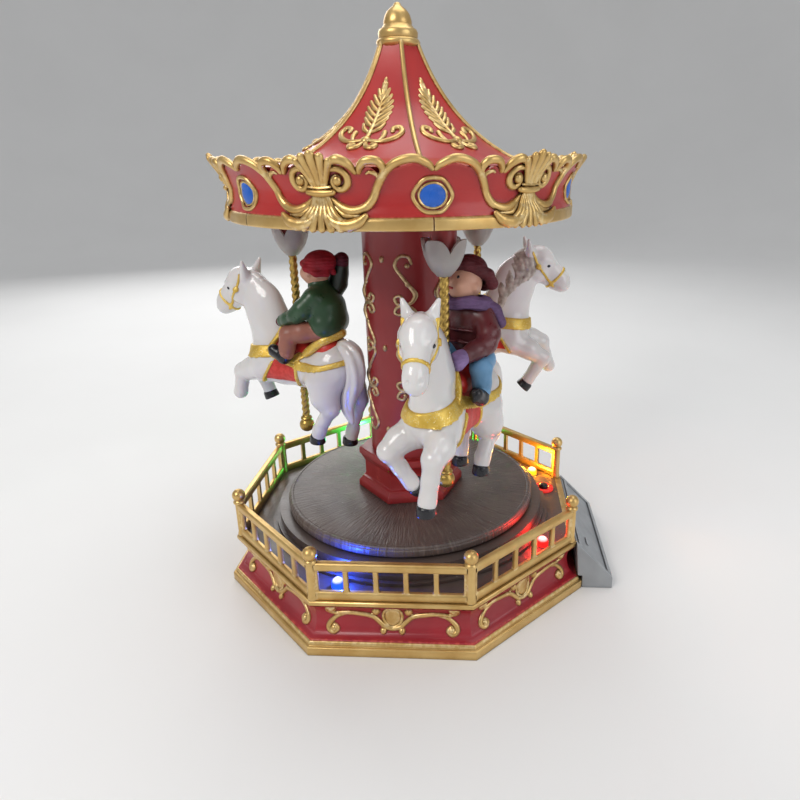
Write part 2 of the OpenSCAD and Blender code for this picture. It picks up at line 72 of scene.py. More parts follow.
# ---------------------------------------------------------------- sizes, in millimetres

def low(node):
    return np.array(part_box(node)[0]) / MM


def high(node):
    return np.array(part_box(node)[1]) / MM


FOOT_A = high("base_shell")[1]
LEDGE_Z = high("base_shell")[2]
LEDGE_A = FOOT_A - 2.8
DECK_Z = low("railing_panel_1")[2]
DECK_A = high("deck_plate")[1]
RAIL_A = -(high("railing_panel_1")[1] + low("railing_panel_1")[1]) / 2
POST_R = 1.65
POST_CIRCLE = (LEDGE_A - 2.3) / math.cos(TAU / 16)
TABLE_Z = high("turntable")[2]
TABLE_R = 49.3
COLUMN_R = 15.3
COLUMN_BORE = 12.8
PLINTH_R = 21.2
PLINTH_H = 17.0
CEILING_Z = low("canopy_ceiling")[2]
RIM_Z = low("canopy_valance")[2]
RIM_R = 58.7
APEX_Z = high("finial")[2]
FINIAL_Z = low("finial")[2]
LAMPS = ("blue", "red", "yellow", "green")
POLE_XY = [((low(f"pole_{i}") + high(f"pole_{i}")) / 2)[:2] for i in (1, 2, 3)]
POLE_R = 1.65
SADDLE_Z = 80.0
HORSE_RISE = (0.0, 5.5, 0.0)
HORSE_HEADING = (-24.0, 97.0, -112.0)
HORSE_SHIFT = (2.5, 0.0, 0.0)
PLINTH_BEARING = 41.8
JEWEL_BEARING = 14.9
FLEUR_BEARING = JEWEL_BEARING + 30


# ---------------------------------------------------------------- mesh helpers

def polar(bearing, radius, z=0.0):
    """A point at a bearing measured from the front (-Y) toward +X."""
    a = math.radians(bearing)
    return np.array([radius * math.sin(a), -radius * math.cos(a), z])


class Shape:
    """Collects vertices and faces in millimetres."""

    def __init__(self):
        self.verts, self.faces, self.count = [], [], 0

    def add(self, verts, faces):
        verts = np.asarray(verts, float)
        self.verts.append(verts)
        self.faces.extend([tuple(int(i) + self.count for i in f) for f in faces])
        self.count += len(verts)
        return self

    def add_shape(self, other, transform=lambda v: v):
        return self.add(transform(other.points()), other.faces)

    def curl(self, surface, path, widths, height=None, sides=10, per=6):
        """A raised strand along a smoothed path on a surface."""
        return self.add_shape(strand(smooth_path(path, per), widths, surface, height, sides))

    def boss(self, surface, *place_and_size):
        return self.add_shape(button_on(surface, *place_and_size))

    def points(self):
        return np.concatenate(self.verts)


def gold(name, shape, body, **settings):
    """A piece in the common gold paint."""
    return piece(name, shape, body, "gold_plastic", GOLD, **settings)


def piece(name, shape, body, slot, material, replaces=(), bevel=0.0, angle=35):
    """A named mesh that rides on a body; an angle in degrees parts smooth from sharp edges."""
    mesh = bpy.data.meshes.new(name)
    mesh.from_pydata((shape.points() * MM).tolist(), [], shape.faces)
    mesh.validate()
    mesh.update()
    mesh.polygons.foreach_set("use_smooth", [True] * len(mesh.polygons))
    obj = bpy.data.objects.new(name, mesh)
    bpy.context.scene.collection.objects.link(obj)
    obj.data.materials.append(material)
    if bevel:
        mod = obj.modifiers.new("bevel", "BEVEL")
        mod.width = bevel * MM
        mod.segments = 3
        mod.limit_method = "ANGLE"
        mod.angle_limit = math.radians(angle)
        mod.harden_normals = True
    else:
        mesh.set_sharp_from_angle(angle=math.radians(angle + 10))
    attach(obj, body)
    if replaces:
        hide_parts(*replaces)
    return obj


def grid_faces(rows, cols, wrap_cols=False, wrap_rows=False):
    faces = []
    for r in range(rows if wrap_rows else rows - 1):
        for c in range(cols if wrap_cols else cols - 1):
            a, b = r * cols + c, r * cols + (c + 1) % cols
            d, e = ((r + 1) % rows) * cols + c, ((r + 1) % rows) * cols + (c + 1) % cols
            faces.append((a, b, e, d))
    return faces


def lids(rows, cols):
    """Faces that close the first and the last row of a grid."""
    return [tuple(range(cols))[::-1], tuple(range((rows - 1) * cols, rows * cols))]


def smooth_path(points, per=6):
    """Catmull-Rom through the points."""
    p = np.asarray(points, float)
    p = np.vstack([2 * p[0] - p[1], p, 2 * p[-1] - p[-2]])
    out = []
    for i in range(1, len(p) - 2):
        for t in np.arange(per) / per:
            a = 2 * p[i]
            b = p[i + 1] - p[i - 1]
            c = 2 * p[i - 1] - 5 * p[i] + 4 * p[i + 1] - p[i + 2]
            d = -p[i - 1] + 3 * p[i] - 3 * p[i + 1] + p[i + 2]
            out.append(0.5 * (a + b * t + c * t * t + d * t ** 3))
    out.append(p[-2])
    return np.array(out)


def lathe(profile, segments=96, closed=True, centre=(0, 0), radius_of=None):
    """Turns a profile of (r, z) round +Z; radius_of(angle, r, z) may modulate the radius."""
    prof = np.asarray(profile, float)
    ang = np.arange(segments) * TAU / segments
    rows = []
    for r, z in prof:
        rr = np.full(segments, r) if radius_of is None else radius_of(ang, r, z)
        rows.append(np.stack([centre[0] + rr * np.cos(ang), centre[1] + rr * np.sin(ang),
                              np.full(segments, z)], 1))
    faces = grid_faces(len(prof), segments, wrap_cols=True, wrap_rows=closed)
    return Shape().add(np.concatenate(rows), faces)


def round_profile(points, radius=0.4, steps=4):
    """Rounds the corners of a closed (r, z) outline."""
    p = np.asarray(points, float)
    out = []
    for i, q in enumerate(p):
        before, after = p[i - 1], p[(i + 1) % len(p)]
        u, v = before - q, after - q
        lu, lv = np.linalg.norm(u), np.linalg.norm(v)
        cut = min(radius, lu * 0.45, lv * 0.45)
        a, b = q + u / lu * cut, q + v / lv * cut
        for t in np.linspace(0, 1, steps):
            out.append((1 - t) ** 2 * a + 2 * t * (1 - t) * q + t * t * b)
    return np.array(out)


def polygon_sweep(profile, sides=8, corner=22.5, closed=True):
    """Sweeps an (apothem, z) outline round a regular polygon with mitred corners."""
    widen = 1 / math.cos(math.pi / sides)
    rows = [[polar(corner + 360 * k / sides, a * widen, z) for k in range(sides)] for a, z in profile]
    faces = grid_faces(len(profile), sides, wrap_cols=True, wrap_rows=closed)
    return Shape().add(np.concatenate(rows), faces)


def prism(outline, low_y, high_y):
    """Extrudes an (x, z) outline along Y."""
    n = len(outline)
    verts = [(x, y, z) for y in (low_y, high_y) for x, z in outline]
    faces = [(i, (i + 1) % n, n + (i + 1) % n, n + i) for i in range(n)]
    return Shape().add(verts, faces + [tuple(range(n))[::-1], tuple(range(n, 2 * n))])


def turned(angle, move=(0, 0, 0)):
    """A transform that turns vertices by an angle in degrees about +Z and then moves them."""
    c, s = math.cos(math.radians(angle)), math.sin(math.radians(angle))
    matrix = np.array([[c, -s, 0], [s, c, 0], [0, 0, 1]])
    return lambda v: v @ matrix.T + np.array(move)


PROBE = 0.05          # step along a surface that finds its normal


def strand(path, width, surface, height=None, sides=10):
    """A raised tube lying on a surface. path is (u, v) points, surface(u, v) gives a point."""
    path = np.asarray(path, float)
    n = len(path)
    w = np.interp(np.linspace(0, 1, n), np.linspace(0, 1, len(width)), width)
    h = w * 0.8 if height is None else w * height
    pts = np.array([surface(u, v) for u, v in path])
    du = np.array([surface(u + PROBE, v) for u, v in path]) - pts
    dv = np.array([surface(u, v + PROBE) for u, v in path]) - pts
    normal = np.cross(du, dv)
    normal /= np.linalg.norm(normal, axis=1)[:, None]
    tangent = np.gradient(pts, axis=0)
    tangent /= np.linalg.norm(tangent, axis=1)[:, None]
    side = np.cross(tangent, normal)
    side /= np.linalg.norm(side, axis=1)[:, None]
    first, last = [[(pts[end] + tangent[end] * sign * along * w[end], scale, end)
                    for along, scale in ((1.0, 0.15), (0.75, 0.62), (0.42, 0.9))]
                   for end, sign in ((0, -1), (n - 1, 1))]
    rows = first + [(pts[i], 1.0, i) for i in range(n)] + last[::-1]
    ang = np.arange(sides) * TAU / sides
    verts = []
    for centre, scale, i in rows:
        base = centre + normal[i] * (h[i] * 0.1)
        verts.append(base + scale * (np.outer(np.cos(ang), side[i]) * w[i]
                                     + np.outer(np.sin(ang), normal[i]) * h[i]))
    m = len(rows)
    return Shape().add(np.concatenate(verts), grid_faces(m, sides, wrap_cols=True) + lids(m, sides))


def button_on(surface, u, v, width, tall, rise, rings=6, sides=28):
    """A domed oval boss on a surface."""
    verts = []
    centre = surface(u, v)
    du, dv = surface(u + PROBE, v) - centre, surface(u, v + PROBE) - centre
    normal = np.cross(du, dv)
    normal /= np.linalg.norm(normal)
    for k in range(rings + 1):
        a = k / rings * math.pi / 2
        for s in np.arange(sides) * TAU / sides:
            x, y = width * math.cos(a) * math.cos(s), tall * math.cos(a) * math.sin(s)
            verts.append(surface(u + x, v + y) + normal * (rise * math.sin(a) - 0.25 * (k == 0)))
    faces = grid_faces(rings + 1, sides, wrap_cols=True)
    faces.append(tuple(rings * sides + k for k in range(sides)))
    faces.append(tuple(range(sides))[::-1])
    return Shape().add(verts, faces)


def hook(centre, r_start, r_end, a_start, a_end, steps=14):
    """Points of a spiral, angles in degrees."""
    a = np.radians(np.linspace(a_start, a_end, steps))
    r = np.linspace(r_start, r_end, steps)
    return np.stack([centre[0] + r * np.cos(a), centre[1] + r * np.sin(a)], 1)


def as_drawn(path):
    return np.array(path, float)


def mirrored(path):
    return as_drawn(path) * (-1, 1)


BOTH_SIDES = (as_drawn, mirrored)


def sides_of(offset):
    """A lobe on the middle line is made once, any other on both sides."""
    return (1,) if offset == 0 else (-1, 1)


# ---------------------------------------------------------------- implicit solids

class Blob:
    """A distance field on a grid, built from soft unions of limbs and balls, in millimetres."""

    def __init__(self, lo, hi, step):
        self.lo, self.step = np.array(lo, float), step
        shape = np.ceil((np.array(hi) - lo) / step).astype(int) + 1
        self.axes = [self.lo[k] + step * np.arange(shape[k]) for k in range(3)]
        self.field = np.full(shape, 9.0, np.float32)

    def merge(self, distance, lo, hi, soft, cut=False):
        pad = soft + 2.5 * self.step
        sel = []
        for k in range(3):
            a = np.searchsorted(self.axes[k], lo[k] - pad)
            b = np.searchsorted(self.axes[k], hi[k] + pad, side="right")
            sel.append(slice(max(a, 0), b))
        x = self.axes[0][sel[0]][:, None, None]
        y = self.axes[1][sel[1]][None, :, None]
        z = self.axes[2][sel[2]][None, None, :]
        if 0 in (x.size, y.size, z.size):
            return self
        d = distance(x, y, z).astype(np.float32)
        f = self.field[tuple(sel)]
        self.field[tuple(sel)] = soft_max(f, -d, soft) if cut else soft_min(f, d, soft)
        return self

    def limb(self, a, ra, b, rb, soft=1.5, flat=(1, 1, 1), cut=False):
        a, b = np.array(a, float), np.array(b, float)
        s = np.array(flat, float)
        reach = max(ra, rb)
        lo, hi = np.minimum(a, b) - reach / s.min(), np.maximum(a, b) + reach / s.min()
        return self.merge(lambda x, y, z: limb_distance((x, y, z), a, ra, b, rb, s), lo, hi, soft, cut)

    def chain(self, points, radii, soft=1.5, flat=(1, 1, 1)):
        for i in range(len(points) - 1):
            self.limb(points[i], radii[i], points[i + 1], radii[i + 1], soft, flat)
        return self

    def ball(self, c, r, soft=1.5, cut=False):
        c, r = np.array(c, float), np.array([r] * 3 if np.isscalar(r) else r, float)
        return self.merge(lambda x, y, z: ball_distance((x, y, z), c, r), c - r, c + r, soft, cut)

    def mesh(self, relax=1):
        return surface_net(self.field, self.lo, self.step, relax)


def soft_min(a, b, k):
    h = np.maximum(k - np.abs(a - b), 0) / k
    return np.minimum(a, b) - h * h * k * 0.25


def soft_max(a, b, k):
    return -soft_min(-a, -b, k)


def limb_distance(p, a, ra, b, rb, s=(1, 1, 1)):
    q = [(p[k] - a[k]) * s[k] for k in range(3)]
    d = [(b[k] - a[k]) * s[k] for k in range(3)]
    dd = sum(v * v for v in d) + 1e-9
    t = np.clip((q[0] * d[0] + q[1] * d[1] + q[2] * d[2]) / dd, 0, 1)
    gap = np.sqrt(sum((q[k] - t * d[k]) ** 2 for k in range(3)))
    return (gap - (ra + t * (rb - ra))) / max(s)


def ball_distance(p, c, r):
    k0 = np.sqrt(sum(((p[i] - c[i]) / r[i]) ** 2 for i in range(3))) + 1e-9
    k1 = np.sqrt(sum(((p[i] - c[i]) / (r[i] * r[i])) ** 2 for i in range(3))) + 1e-9
    return k0 * (k0 - 1) / k1


def surface_net(field, lo, step, relax=1):
    """Quads on the zero surface of a sampled distance field."""
    shape = np.array(field.shape) - 1
    total = np.zeros((*shape, 3), np.float32)
    count = np.zeros(shape, np.int8)
    crossings = []
    for axis in range(3):
        a = np.take(field, range(shape[axis]), axis)
        b = np.take(field, range(1, shape[axis] + 1), axis)
        cross = (a < 0) != (b < 0)
        idx = np.argwhere(cross)
        fa, fb = a[cross], b[cross]
        t = fa / (fa - fb)
        crossings.append((idx, fa < 0))
        others = [k for k in range(3) if k != axis]
        for o1 in (0, 1):
            for o2 in (0, 1):
                cell = idx.copy()
                cell[:, others[0]] -= o1
                cell[:, others[1]] -= o2
                ok = ((cell >= 0) & (cell < shape)).all(1)
                c = cell[ok]
                pos = idx[ok].astype(np.float32)
                pos[:, axis] += t[ok]
                np.add.at(total, tuple(c.T), pos)
                np.add.at(count, tuple(c.T), 1)
    index = np.full(shape, -1, np.int64)
    used = count > 0
    index[used] = np.arange(used.sum())
    verts = total[used] / count[used][:, None]
    faces = []
    for axis in range(3):
        idx, inside = crossings[axis]
        o1, o2 = [k for k in range(3) if k != axis]
        ok = (idx[:, o1] > 0) & (idx[:, o2] > 0) & (idx[:, o1] < shape[o1]) & (idx[:, o2] < shape[o2])
        idx, inside = idx[ok], inside[ok]
        corners = []
        for s1, s2 in ((0, 0), (1, 0), (1, 1), (0, 1)):
            c = idx.copy()
            c[:, o1] -= s1
            c[:, o2] -= s2
            corners.append(index[tuple(c.T)])
        quad = np.stack(corners, 1)
        flip = inside if axis == 1 else ~inside
        quad[flip] = quad[flip][:, ::-1]
        faces.append(quad)
    faces = np.concatenate(faces)
    for _ in range(relax):
        acc, cnt = np.zeros_like(verts), np.zeros(len(verts))
        for i in range(4):
            for j in (1, 3):
                np.add.at(acc, faces[:, i], verts[faces[:, (i + j) % 4]])
                np.add.at(cnt, faces[:, i], 1)
        verts = 0.5 * verts + 0.5 * acc / cnt[:, None]
    return Shape().add(lo + verts * step, faces.tolist())


# ---------------------------------------------------------------- materials

def add_node(tree, kind, values=None, **settings):
    made = tree.nodes.new(kind)
    for key, value in settings.items():
        setattr(made, key, value)
    for key, value in (values or {}).items():
        if isinstance(value, bpy.types.NodeSocket):
            tree.links.new(value, made.inputs[key])
        else:
            made.inputs[key].default_value = value
    return made


def rgb(colour):
    return (*colour, 1.0)


class Finish:
    """A procedural finish: two tones in soft patches, uneven gloss, fine bump, painted shade in the recesses,
    worn edges.
    """

    def __init__(self, name, tone, other, rough, metallic=0.0, patch=90.0, grain=900.0, bump=0.12):
        self.material = bpy.data.materials.new(name)
        self.material.use_nodes = True
        self.tree = self.material.node_tree
        self.shader = self.tree.nodes["Principled BSDF"]
        self.shader.inputs["Metallic"].default_value = metallic
        self.place = self.node("ShaderNodeTexCoord").outputs["Object"]
        soft = self.noise(patch, 3.0)
        self.colour = self.mix(self.ramp(soft, 0.35, 0.65), tone, other)
        self.gloss = self.ramp(self.noise(patch * 2.3, 4.0), 0.3, 0.7, rough * 0.82, min(rough * 1.22, 1.0))
        self.height = self.noise(grain, 3.0)
        self.bump_strength = bump

    def node(self, kind, values=None, **settings):
        return add_node(self.tree, kind, values, **settings)

    def noise(self, scale, detail=2.0, vector=None):
        values = {"Vector": vector or self.place, "Scale": scale, "Detail": detail}
        return self.node("ShaderNodeTexNoise", values).outputs["Fac"]

    def ramp(self, value, low_in, high_in, low_out=0.0, high_out=1.0):
        values = {"Value": value, "From Min": low_in, "From Max": high_in,
                  "To Min": low_out, "To Max": high_out}
        return self.node("ShaderNodeMapRange", values).outputs["Result"]

    def math(self, operation, a, b=0.0):
        return self.node("ShaderNodeMath", {0: a, 1: b}, operation=operation).outputs[0]

    def mix(self, factor, a, b):
        a, b = [rgb(c) if isinstance(c, tuple) else c for c in (a, b)]
        return self.node("ShaderNodeMix", {0: factor, 6: a, 7: b}, data_type="RGBA").outputs[2]

    def soil(self, colour, reach=2.2, strength=0.85):
        """Painted shade: the colour darkens toward a darker tone where ambient occlusion finds the recesses
        of the relief.
        """
        open_air = self.node("ShaderNodeAmbientOcclusion", {"Distance": reach * MM}, samples=6).outputs["AO"]
        self.colour = self.mix(self.ramp(open_air, 0.35, 0.85, strength, 0.0), self.colour, colour)
        return self

    def wear(self, colour, amount=0.5, reach=0.7):
        """Paler, rubbed edges, broken up by noise."""
        edge = self.node("ShaderNodeAmbientOcclusion", {"Distance": reach * MM}, samples=6,
                         inside=True).outputs["AO"]
        rubbed = self.math("MULTIPLY", self.ramp(edge, 0.45, 0.85, 1.0, 0.0),
                           self.ramp(self.noise(700.0), 0.4, 0.6))
        self.colour = self.mix(self.math("MULTIPLY", rubbed, amount), self.colour, colour)
        return self

    def specks(self, colour, scale, size, share=0.5):
        """Small flakes of glitter or dust."""
        cells = self.node("ShaderNodeTexVoronoi", {"Vector": self.place, "Scale": scale})
        dot = self.ramp(cells.outputs["Distance"], size * 0.7, size, 1.0, 0.0)
        lit = self.ramp(self.node("ShaderNodeSeparateColor", {0: cells.outputs["Color"]}).outputs[0],
                        1 - share, 1 - share + 0.01)
        flake = self.math("MULTIPLY", dot, lit)
        self.colour = self.mix(flake, self.colour, colour)
        self.gloss = self.math("MULTIPLY", self.gloss, self.ramp(flake, 0.0, 1.0, 1.0, 0.6))
        return self

    def relief(self, height, weight):
        self.height = self.math("ADD", self.height, self.math("MULTIPLY", height, weight))
        return self

    def done(self, depth=0.12, **sockets):
        bump = self.node("ShaderNodeBump", {"Height": self.height, "Strength": self.bump_strength,
                                            "Distance": depth * MM})
        self.tree.links.new(bump.outputs["Normal"], self.shader.inputs["Normal"])
        self.tree.links.new(self.colour, self.shader.inputs["Base Color"])
        self.tree.links.new(self.gloss, self.shader.inputs["Roughness"])
        for name, value in sockets.items():
            self.shader.inputs[name.replace("_", " ")].default_value = value
        return self.material


def gold_finish(name="gold_paint", tone=(0.60, 0.38, 0.13), other=(0.72, 0.50, 0.20), rough=0.34):
    made = Finish(name, tone, other, rough, metallic=0.82, patch=130.0, grain=1500.0, bump=0.2)
    # Painted shade darkens the recesses to dark brown; the pale edges are wear.
    return made.soil((0.13, 0.065, 0.02)).wear((0.95, 0.78, 0.45), 0.5).done()


def glitter_gold(name="tack_gold"):
    made = Finish(name, (0.66, 0.42, 0.06), (0.80, 0.56, 0.12), 0.42, metallic=0.55, patch=300.0,
                  grain=2600.0, bump=0.55)
    return made.specks((1.0, 0.86, 0.42), 1900.0, 0.34, 0.6).done(0.2)


def red_finish(name, tone, other, rough=0.36, soil=(0.10, 0.004, 0.005)):
    made = Finish(name, tone, other, rough, patch=60.0, grain=750.0, bump=0.16)
    # Painted shade darkens the recesses toward the darkest red.
    return made.soil(soil, 3.5, 0.7).wear((0.85, 0.16, 0.09), 0.35).done(Coat_Weight=0.25, Coat_Roughness=0.2)


def deck_finish(name="deck_brown", grain=False):
    """Dark brown floor with dust-like glitter; the turntable also has grain fanning out from its middle."""
    made = Finish(name, (0.072, 0.052, 0.046), (0.118, 0.086, 0.072), 0.36, patch=45.0, grain=600.0,
                  bump=0.35)
    if grain:
        split = made.node("ShaderNodeSeparateXYZ", {0: made.place})
        x, y = split.outputs["X"], split.outputs["Y"]
        angle = made.math("ARCTAN2", y, x)
        radius = made.math("SQRT", made.math("ADD", made.math("MULTIPLY", x, x), made.math("MULTIPLY", y, y)))
        sway = made.math("MULTIPLY", made.noise(55.0), 0.9)
        fan = made.node("ShaderNodeCombineXYZ", {
            0: made.math("ADD", made.math("MULTIPLY", angle, 9.0), sway),
            1: made.math("MULTIPLY", radius, 26.0)})
        lines = made.noise(5.0, 6.0, fan.outputs[0])
        made.relief(made.ramp(lines, 0.35, 0.65), 2.6)
        made.colour = made.mix(made.ramp(lines, 0.56, 0.70, 0.0, 0.5), made.colour, (0.21, 0.165, 0.14))
        made.colour = made.mix(made.ramp(lines, 0.28, 0.42, 0.5, 0.0), made.colour, (0.035, 0.024, 0.022))
    made.specks((0.55, 0.52, 0.55), 330.0, 0.055, 0.5)
    # Painted shade darkens the recesses toward near-black brown.
    return made.soil((0.03, 0.02, 0.018), 3.0, 0.6).done(0.3, Coat_Weight=0.2, Coat_Roughness=0.25)


def plastic(name, tone, rough=0.5, vary=0.8, grain=1200.0, bump=0.15, metallic=0.0, soil=True, **sockets):
    other = tuple(c * vary for c in tone)
    made = Finish(name, tone, other, rough, metallic, patch=110.0, grain=grain, bump=bump)
    # Unless turned off, painted shade darkens the recesses to a third of the tone.
    if soil:
        made.soil(tuple(c * 0.35 for c in tone), 2.0, 0.7)
    return made.wear(tuple(min(c * 1.5 + 0.05, 1.0) for c in tone), 0.3).done(**sockets)


def knit(name, tone, rough=0.75):
    """Moulded knitted cloth: ribs that run up and round."""
    made = Finish(name, tone, tuple(c * 0.7 for c in tone), rough, patch=200.0, grain=1400.0, bump=0.6)
    rib = made.node("ShaderNodeTexWave", {"Vector": made.place, "Scale": 260.0, "Distortion": 3.0},
                    bands_direction="Z").outputs["Fac"]
    made.relief(rib, 0.8)
    # Painted shade darkens the recesses to a quarter of the tone.
    return made.soil(tuple(c * 0.25 for c in tone), 1.8, 0.8).done(0.25)


def enamel(name="horse_enamel"):
    """Glossy white with a faint warm cast and painted shade in the folds."""
    made = Finish(name, (0.74, 0.72, 0.71), (0.67, 0.645, 0.635), 0.17, patch=40.0, grain=500.0, bump=0.06)
    made.soil((0.36, 0.29, 0.28), 3.0, 0.5)
    return made.done(Subsurface_Weight=0.08, Subsurface_Scale=0.002, Coat_Weight=0.5, Coat_Roughness=0.06)


def mane_hair(name="mane_streaked"):
    made = Finish(name, (0.30, 0.25, 0.21), (0.60, 0.54, 0.48), 0.35, patch=420.0, grain=1400.0, bump=0.3)
    # Painted shade darkens the recesses between the locks.
    return made.soil((0.10, 0.075, 0.06), 1.6, 0.8).done()


def lens(name, colour, power):
    """A lit lens: white hot on top of the chip, coloured round it."""
    made = Finish(name, colour, tuple(c * 0.8 for c in colour), 0.15, patch=400.0, grain=900.0, bump=0.05)
    level = made.node("ShaderNodeSeparateXYZ", {0: made.place}).outputs["Z"]
    hot = made.ramp(level, (DECK_Z + 1.9) * MM, (DECK_Z + 3.1) * MM, 0.0, 0.75)
    glow = made.mix(hot, colour, (1.0, 1.0, 1.0))
    made.tree.links.new(glow, made.shader.inputs["Emission Color"])
    return made.done(Emission_Strength=power)


def frosted(name="frosted_cap"):
    made = Finish(name, (0.82, 0.79, 0.76), (0.72, 0.68, 0.65), 0.36, patch=180.0, grain=1300.0, bump=0.3)
    # Painted shade darkens the recesses to a warm grey.
    made.soil((0.42, 0.33, 0.28), 3.0, 0.6)
    return made.done(Transmission_Weight=0.6, IOR=1.3, Subsurface_Weight=0.1, Subsurface_Scale=0.003)


GOLD = gold_finish()
# A darker, duller copy of the gold: painted shade for the vines on the column under the canopy.
GOLD_SHADED = gold_finish("gold_rubbed", (0.40, 0.27, 0.13), (0.52, 0.37, 0.20), 0.42)
POLE_GOLD = gold_finish("pole_gold", (0.45, 0.29, 0.07), (0.55, 0.37, 0.10), 0.3)
TACK = glitter_gold()
RED = red_finish("canopy_red", (0.47, 0.018, 0.014), (0.40, 0.013, 0.013))
RED_BASE = red_finish("base_red", (0.36, 0.012, 0.022), (0.29, 0.009, 0.018))
# A darker copy of the canopy red: painted shade for the column, plinth, guide tubes and CAD red parts under
# the canopy.
RED_SHADED = red_finish("column_red", (0.30, 0.012, 0.012), (0.24, 0.009, 0.011), 0.42)
SADDLE_RED = plastic("saddle_red", (0.56, 0.028, 0.018), 0.42)
DECK = deck_finish()
TABLE = deck_finish("turntable_brown", grain=True)
GREY = plastic("ramp_grey", (0.33, 0.345, 0.36), 0.5, 0.86)
BLACK = plastic("hoof_black", (0.012, 0.012, 0.016), 0.25)
WHITE = enamel()
FROST = frosted()
JEWEL = plastic("jewel_blue", (0.012, 0.12, 0.56), 0.28, 0.8, soil=False)
STREAKS = mane_hair()
SKIN = plastic("doll_skin", (0.62, 0.33, 0.23), 0.4, 0.9)
LIP = plastic("lip_red", (0.40, 0.03, 0.03), 0.4)
COAT_GREEN = plastic("coat_green", (0.030, 0.085, 0.036), 0.32, 0.7, 500.0, 0.3)
# A near-black copy of the green coat: painted shade on the raised sleeve.
COAT_GREEN_SHADED = plastic("sleeve_dark", (0.010, 0.022, 0.013), 0.34, 0.7, 500.0, 0.3)
COAT_MAROON = plastic("coat_maroon", (0.115, 0.022, 0.026), 0.3, 0.7, 500.0, 0.3)
KNIT_RED = knit("knit_red", (0.36, 0.010, 0.022))
KNIT_PURPLE = knit("knit_purple", (0.155, 0.085, 0.20))
KNIT_DARK = knit("knit_maroon", (0.11, 0.012, 0.018))
# A darker copy of the cap's knitted red: painted shade on the mittens.
MITTEN_RED_SHADED = knit("mitten_dark", (0.12, 0.006, 0.018))
MITTEN_LILAC = knit("mitten_lilac", (0.30, 0.19, 0.42), 0.55)
TROUSER_TAN = plastic("trouser_tan", (0.36, 0.135, 0.09), 0.4, 0.75, 600.0, 0.25)
TROUSER_BLUE = plastic("trouser_blue", (0.145, 0.33, 0.55), 0.4, 0.75, 600.0, 0.25)
LENS = {"blue": lens("lens_blue", (0.01, 0.06, 1.0), 2.2),
        "red": lens("lens_red", (1.0, 0.012, 0.01), 1.8),
        "yellow": lens("lens_yellow", (1.0, 0.36, 0.01), 2.0),
        "green": lens("lens_green", (0.0, 1.0, 0.16), 2.0)}
RING_RED = plastic("ring_red", (0.75, 0.015, 0.012), 0.3, Emission_Color=(1.0, 0.03, 0.02, 1.0),
                   Emission_Strength=0.5)


# ---------------------------------------------------------------- camera, light and floor

CAMERA_ANGLES = (2.897, 19.072, -0.386)      # azimuth from the front, elevation, roll
CAMERA_PLACE = (28.4, -234.7, 154.7)
LENS_LENGTH, SENSOR_WIDTH = 28.68, 36
LENS_SHIFT = (-0.063, -0.024)
WORLD_STRENGTH = 0.42
BOWL_FLAT, BOWL_CURVE, BOWL_WALL = 900, 700, 1500


def place_camera():
    azimuth, elevation, roll = (math.radians(a) for a in CAMERA_ANGLES)
    back = Vector((math.sin(azimuth) * math.cos(elevation), -math.cos(azimuth) * math.cos(elevation),
                   math.sin(elevation)))
    right = (-back).cross(Vector((0, 0, 1))).normalized()
    up = right.cross(-back)
    right, up = (right * math.cos(roll) + up * math.sin(roll), up * math.cos(roll) - right * math.sin(roll))
    data = bpy.data.cameras.new("camera")
    data.lens, data.sensor_width = LENS_LENGTH, SENSOR_WIDTH
    data.shift_x, data.shift_y = LENS_SHIFT
    data.clip_start = 0.01
    camera = bpy.data.objects.new("camera", data)
    camera.matrix_world = Matrix.Translation(Vector(CAMERA_PLACE) * MM) @ Matrix(
        (right, up, back)).transposed().to_4x4()
    bpy.context.scene.collection.objects.link(camera)
    bpy.context.scene.camera = camera


def area_light(name, where, aim, size, power, tint=(1, 1, 1)):
    data = bpy.data.lights.new(name, "AREA")
    data.shape, data.size, data.size_y = "RECTANGLE", size[0], size[1]
    data.energy, data.color = power, tint
    lamp = bpy.data.objects.new(name, data)
    lamp.location = where
    lamp.rotation_euler = (Vector(where) - Vector(aim)).to_track_quat("Z", "Y").to_euler()
    bpy.context.scene.collection.objects.link(lamp)


def studio():
    middle = (0, 0, 0.1)
    area_light("key", (-0.42, -0.55, 0.62), middle, (0.40, 0.40), 3.2, (1.0, 0.98, 0.95))
    area_light("fill", (0.62, -0.42, 0.36), middle, (0.45, 0.55), 1.4, (0.95, 0.97, 1.0))
    area_light("top", (0.05, 0.12, 0.75), middle, (0.5, 0.5), 1.8)
    area_light("back", (-0.30, 0.62, 0.40), middle, (0.5, 0.4), 1.8)
    world = bpy.data.worlds.new("studio")
    bpy.context.scene.world = world
    world.use_nodes = True
    world.node_tree.nodes["Background"].inputs[0].default_value = (0.92, 0.95, 1.0, 1)
    world.node_tree.nodes["Background"].inputs[1].default_value = WORLD_STRENGTH
    curve = [(BOWL_FLAT + BOWL_CURVE * math.sin(a), BOWL_CURVE - BOWL_CURVE * math.cos(a))
             for a in np.linspace(0.1, math.pi / 2, 16)]
    bowl = [(0.02, 0), (BOWL_FLAT, 0)] + curve + [(BOWL_FLAT + BOWL_CURVE, BOWL_WALL)]
    shape = lathe(bowl, 96, closed=False)
    mesh = bpy.data.meshes.new("floor")
    mesh.from_pydata((shape.points() * MM).tolist(), [], shape.faces)
    mesh.polygons.foreach_set("use_smooth", [True] * len(mesh.polygons))
    mesh.materials.append(Finish("studio_floor", (0.80, 0.795, 0.785), (0.82, 0.815, 0.805), 0.7, patch=6.0,
                                 grain=60.0, bump=0.02).done())
    floor = bpy.data.objects.new("floor", mesh)
    bpy.context.scene.collection.objects.link(floor)
    bpy.context.scene.view_settings.view_transform = "Standard"


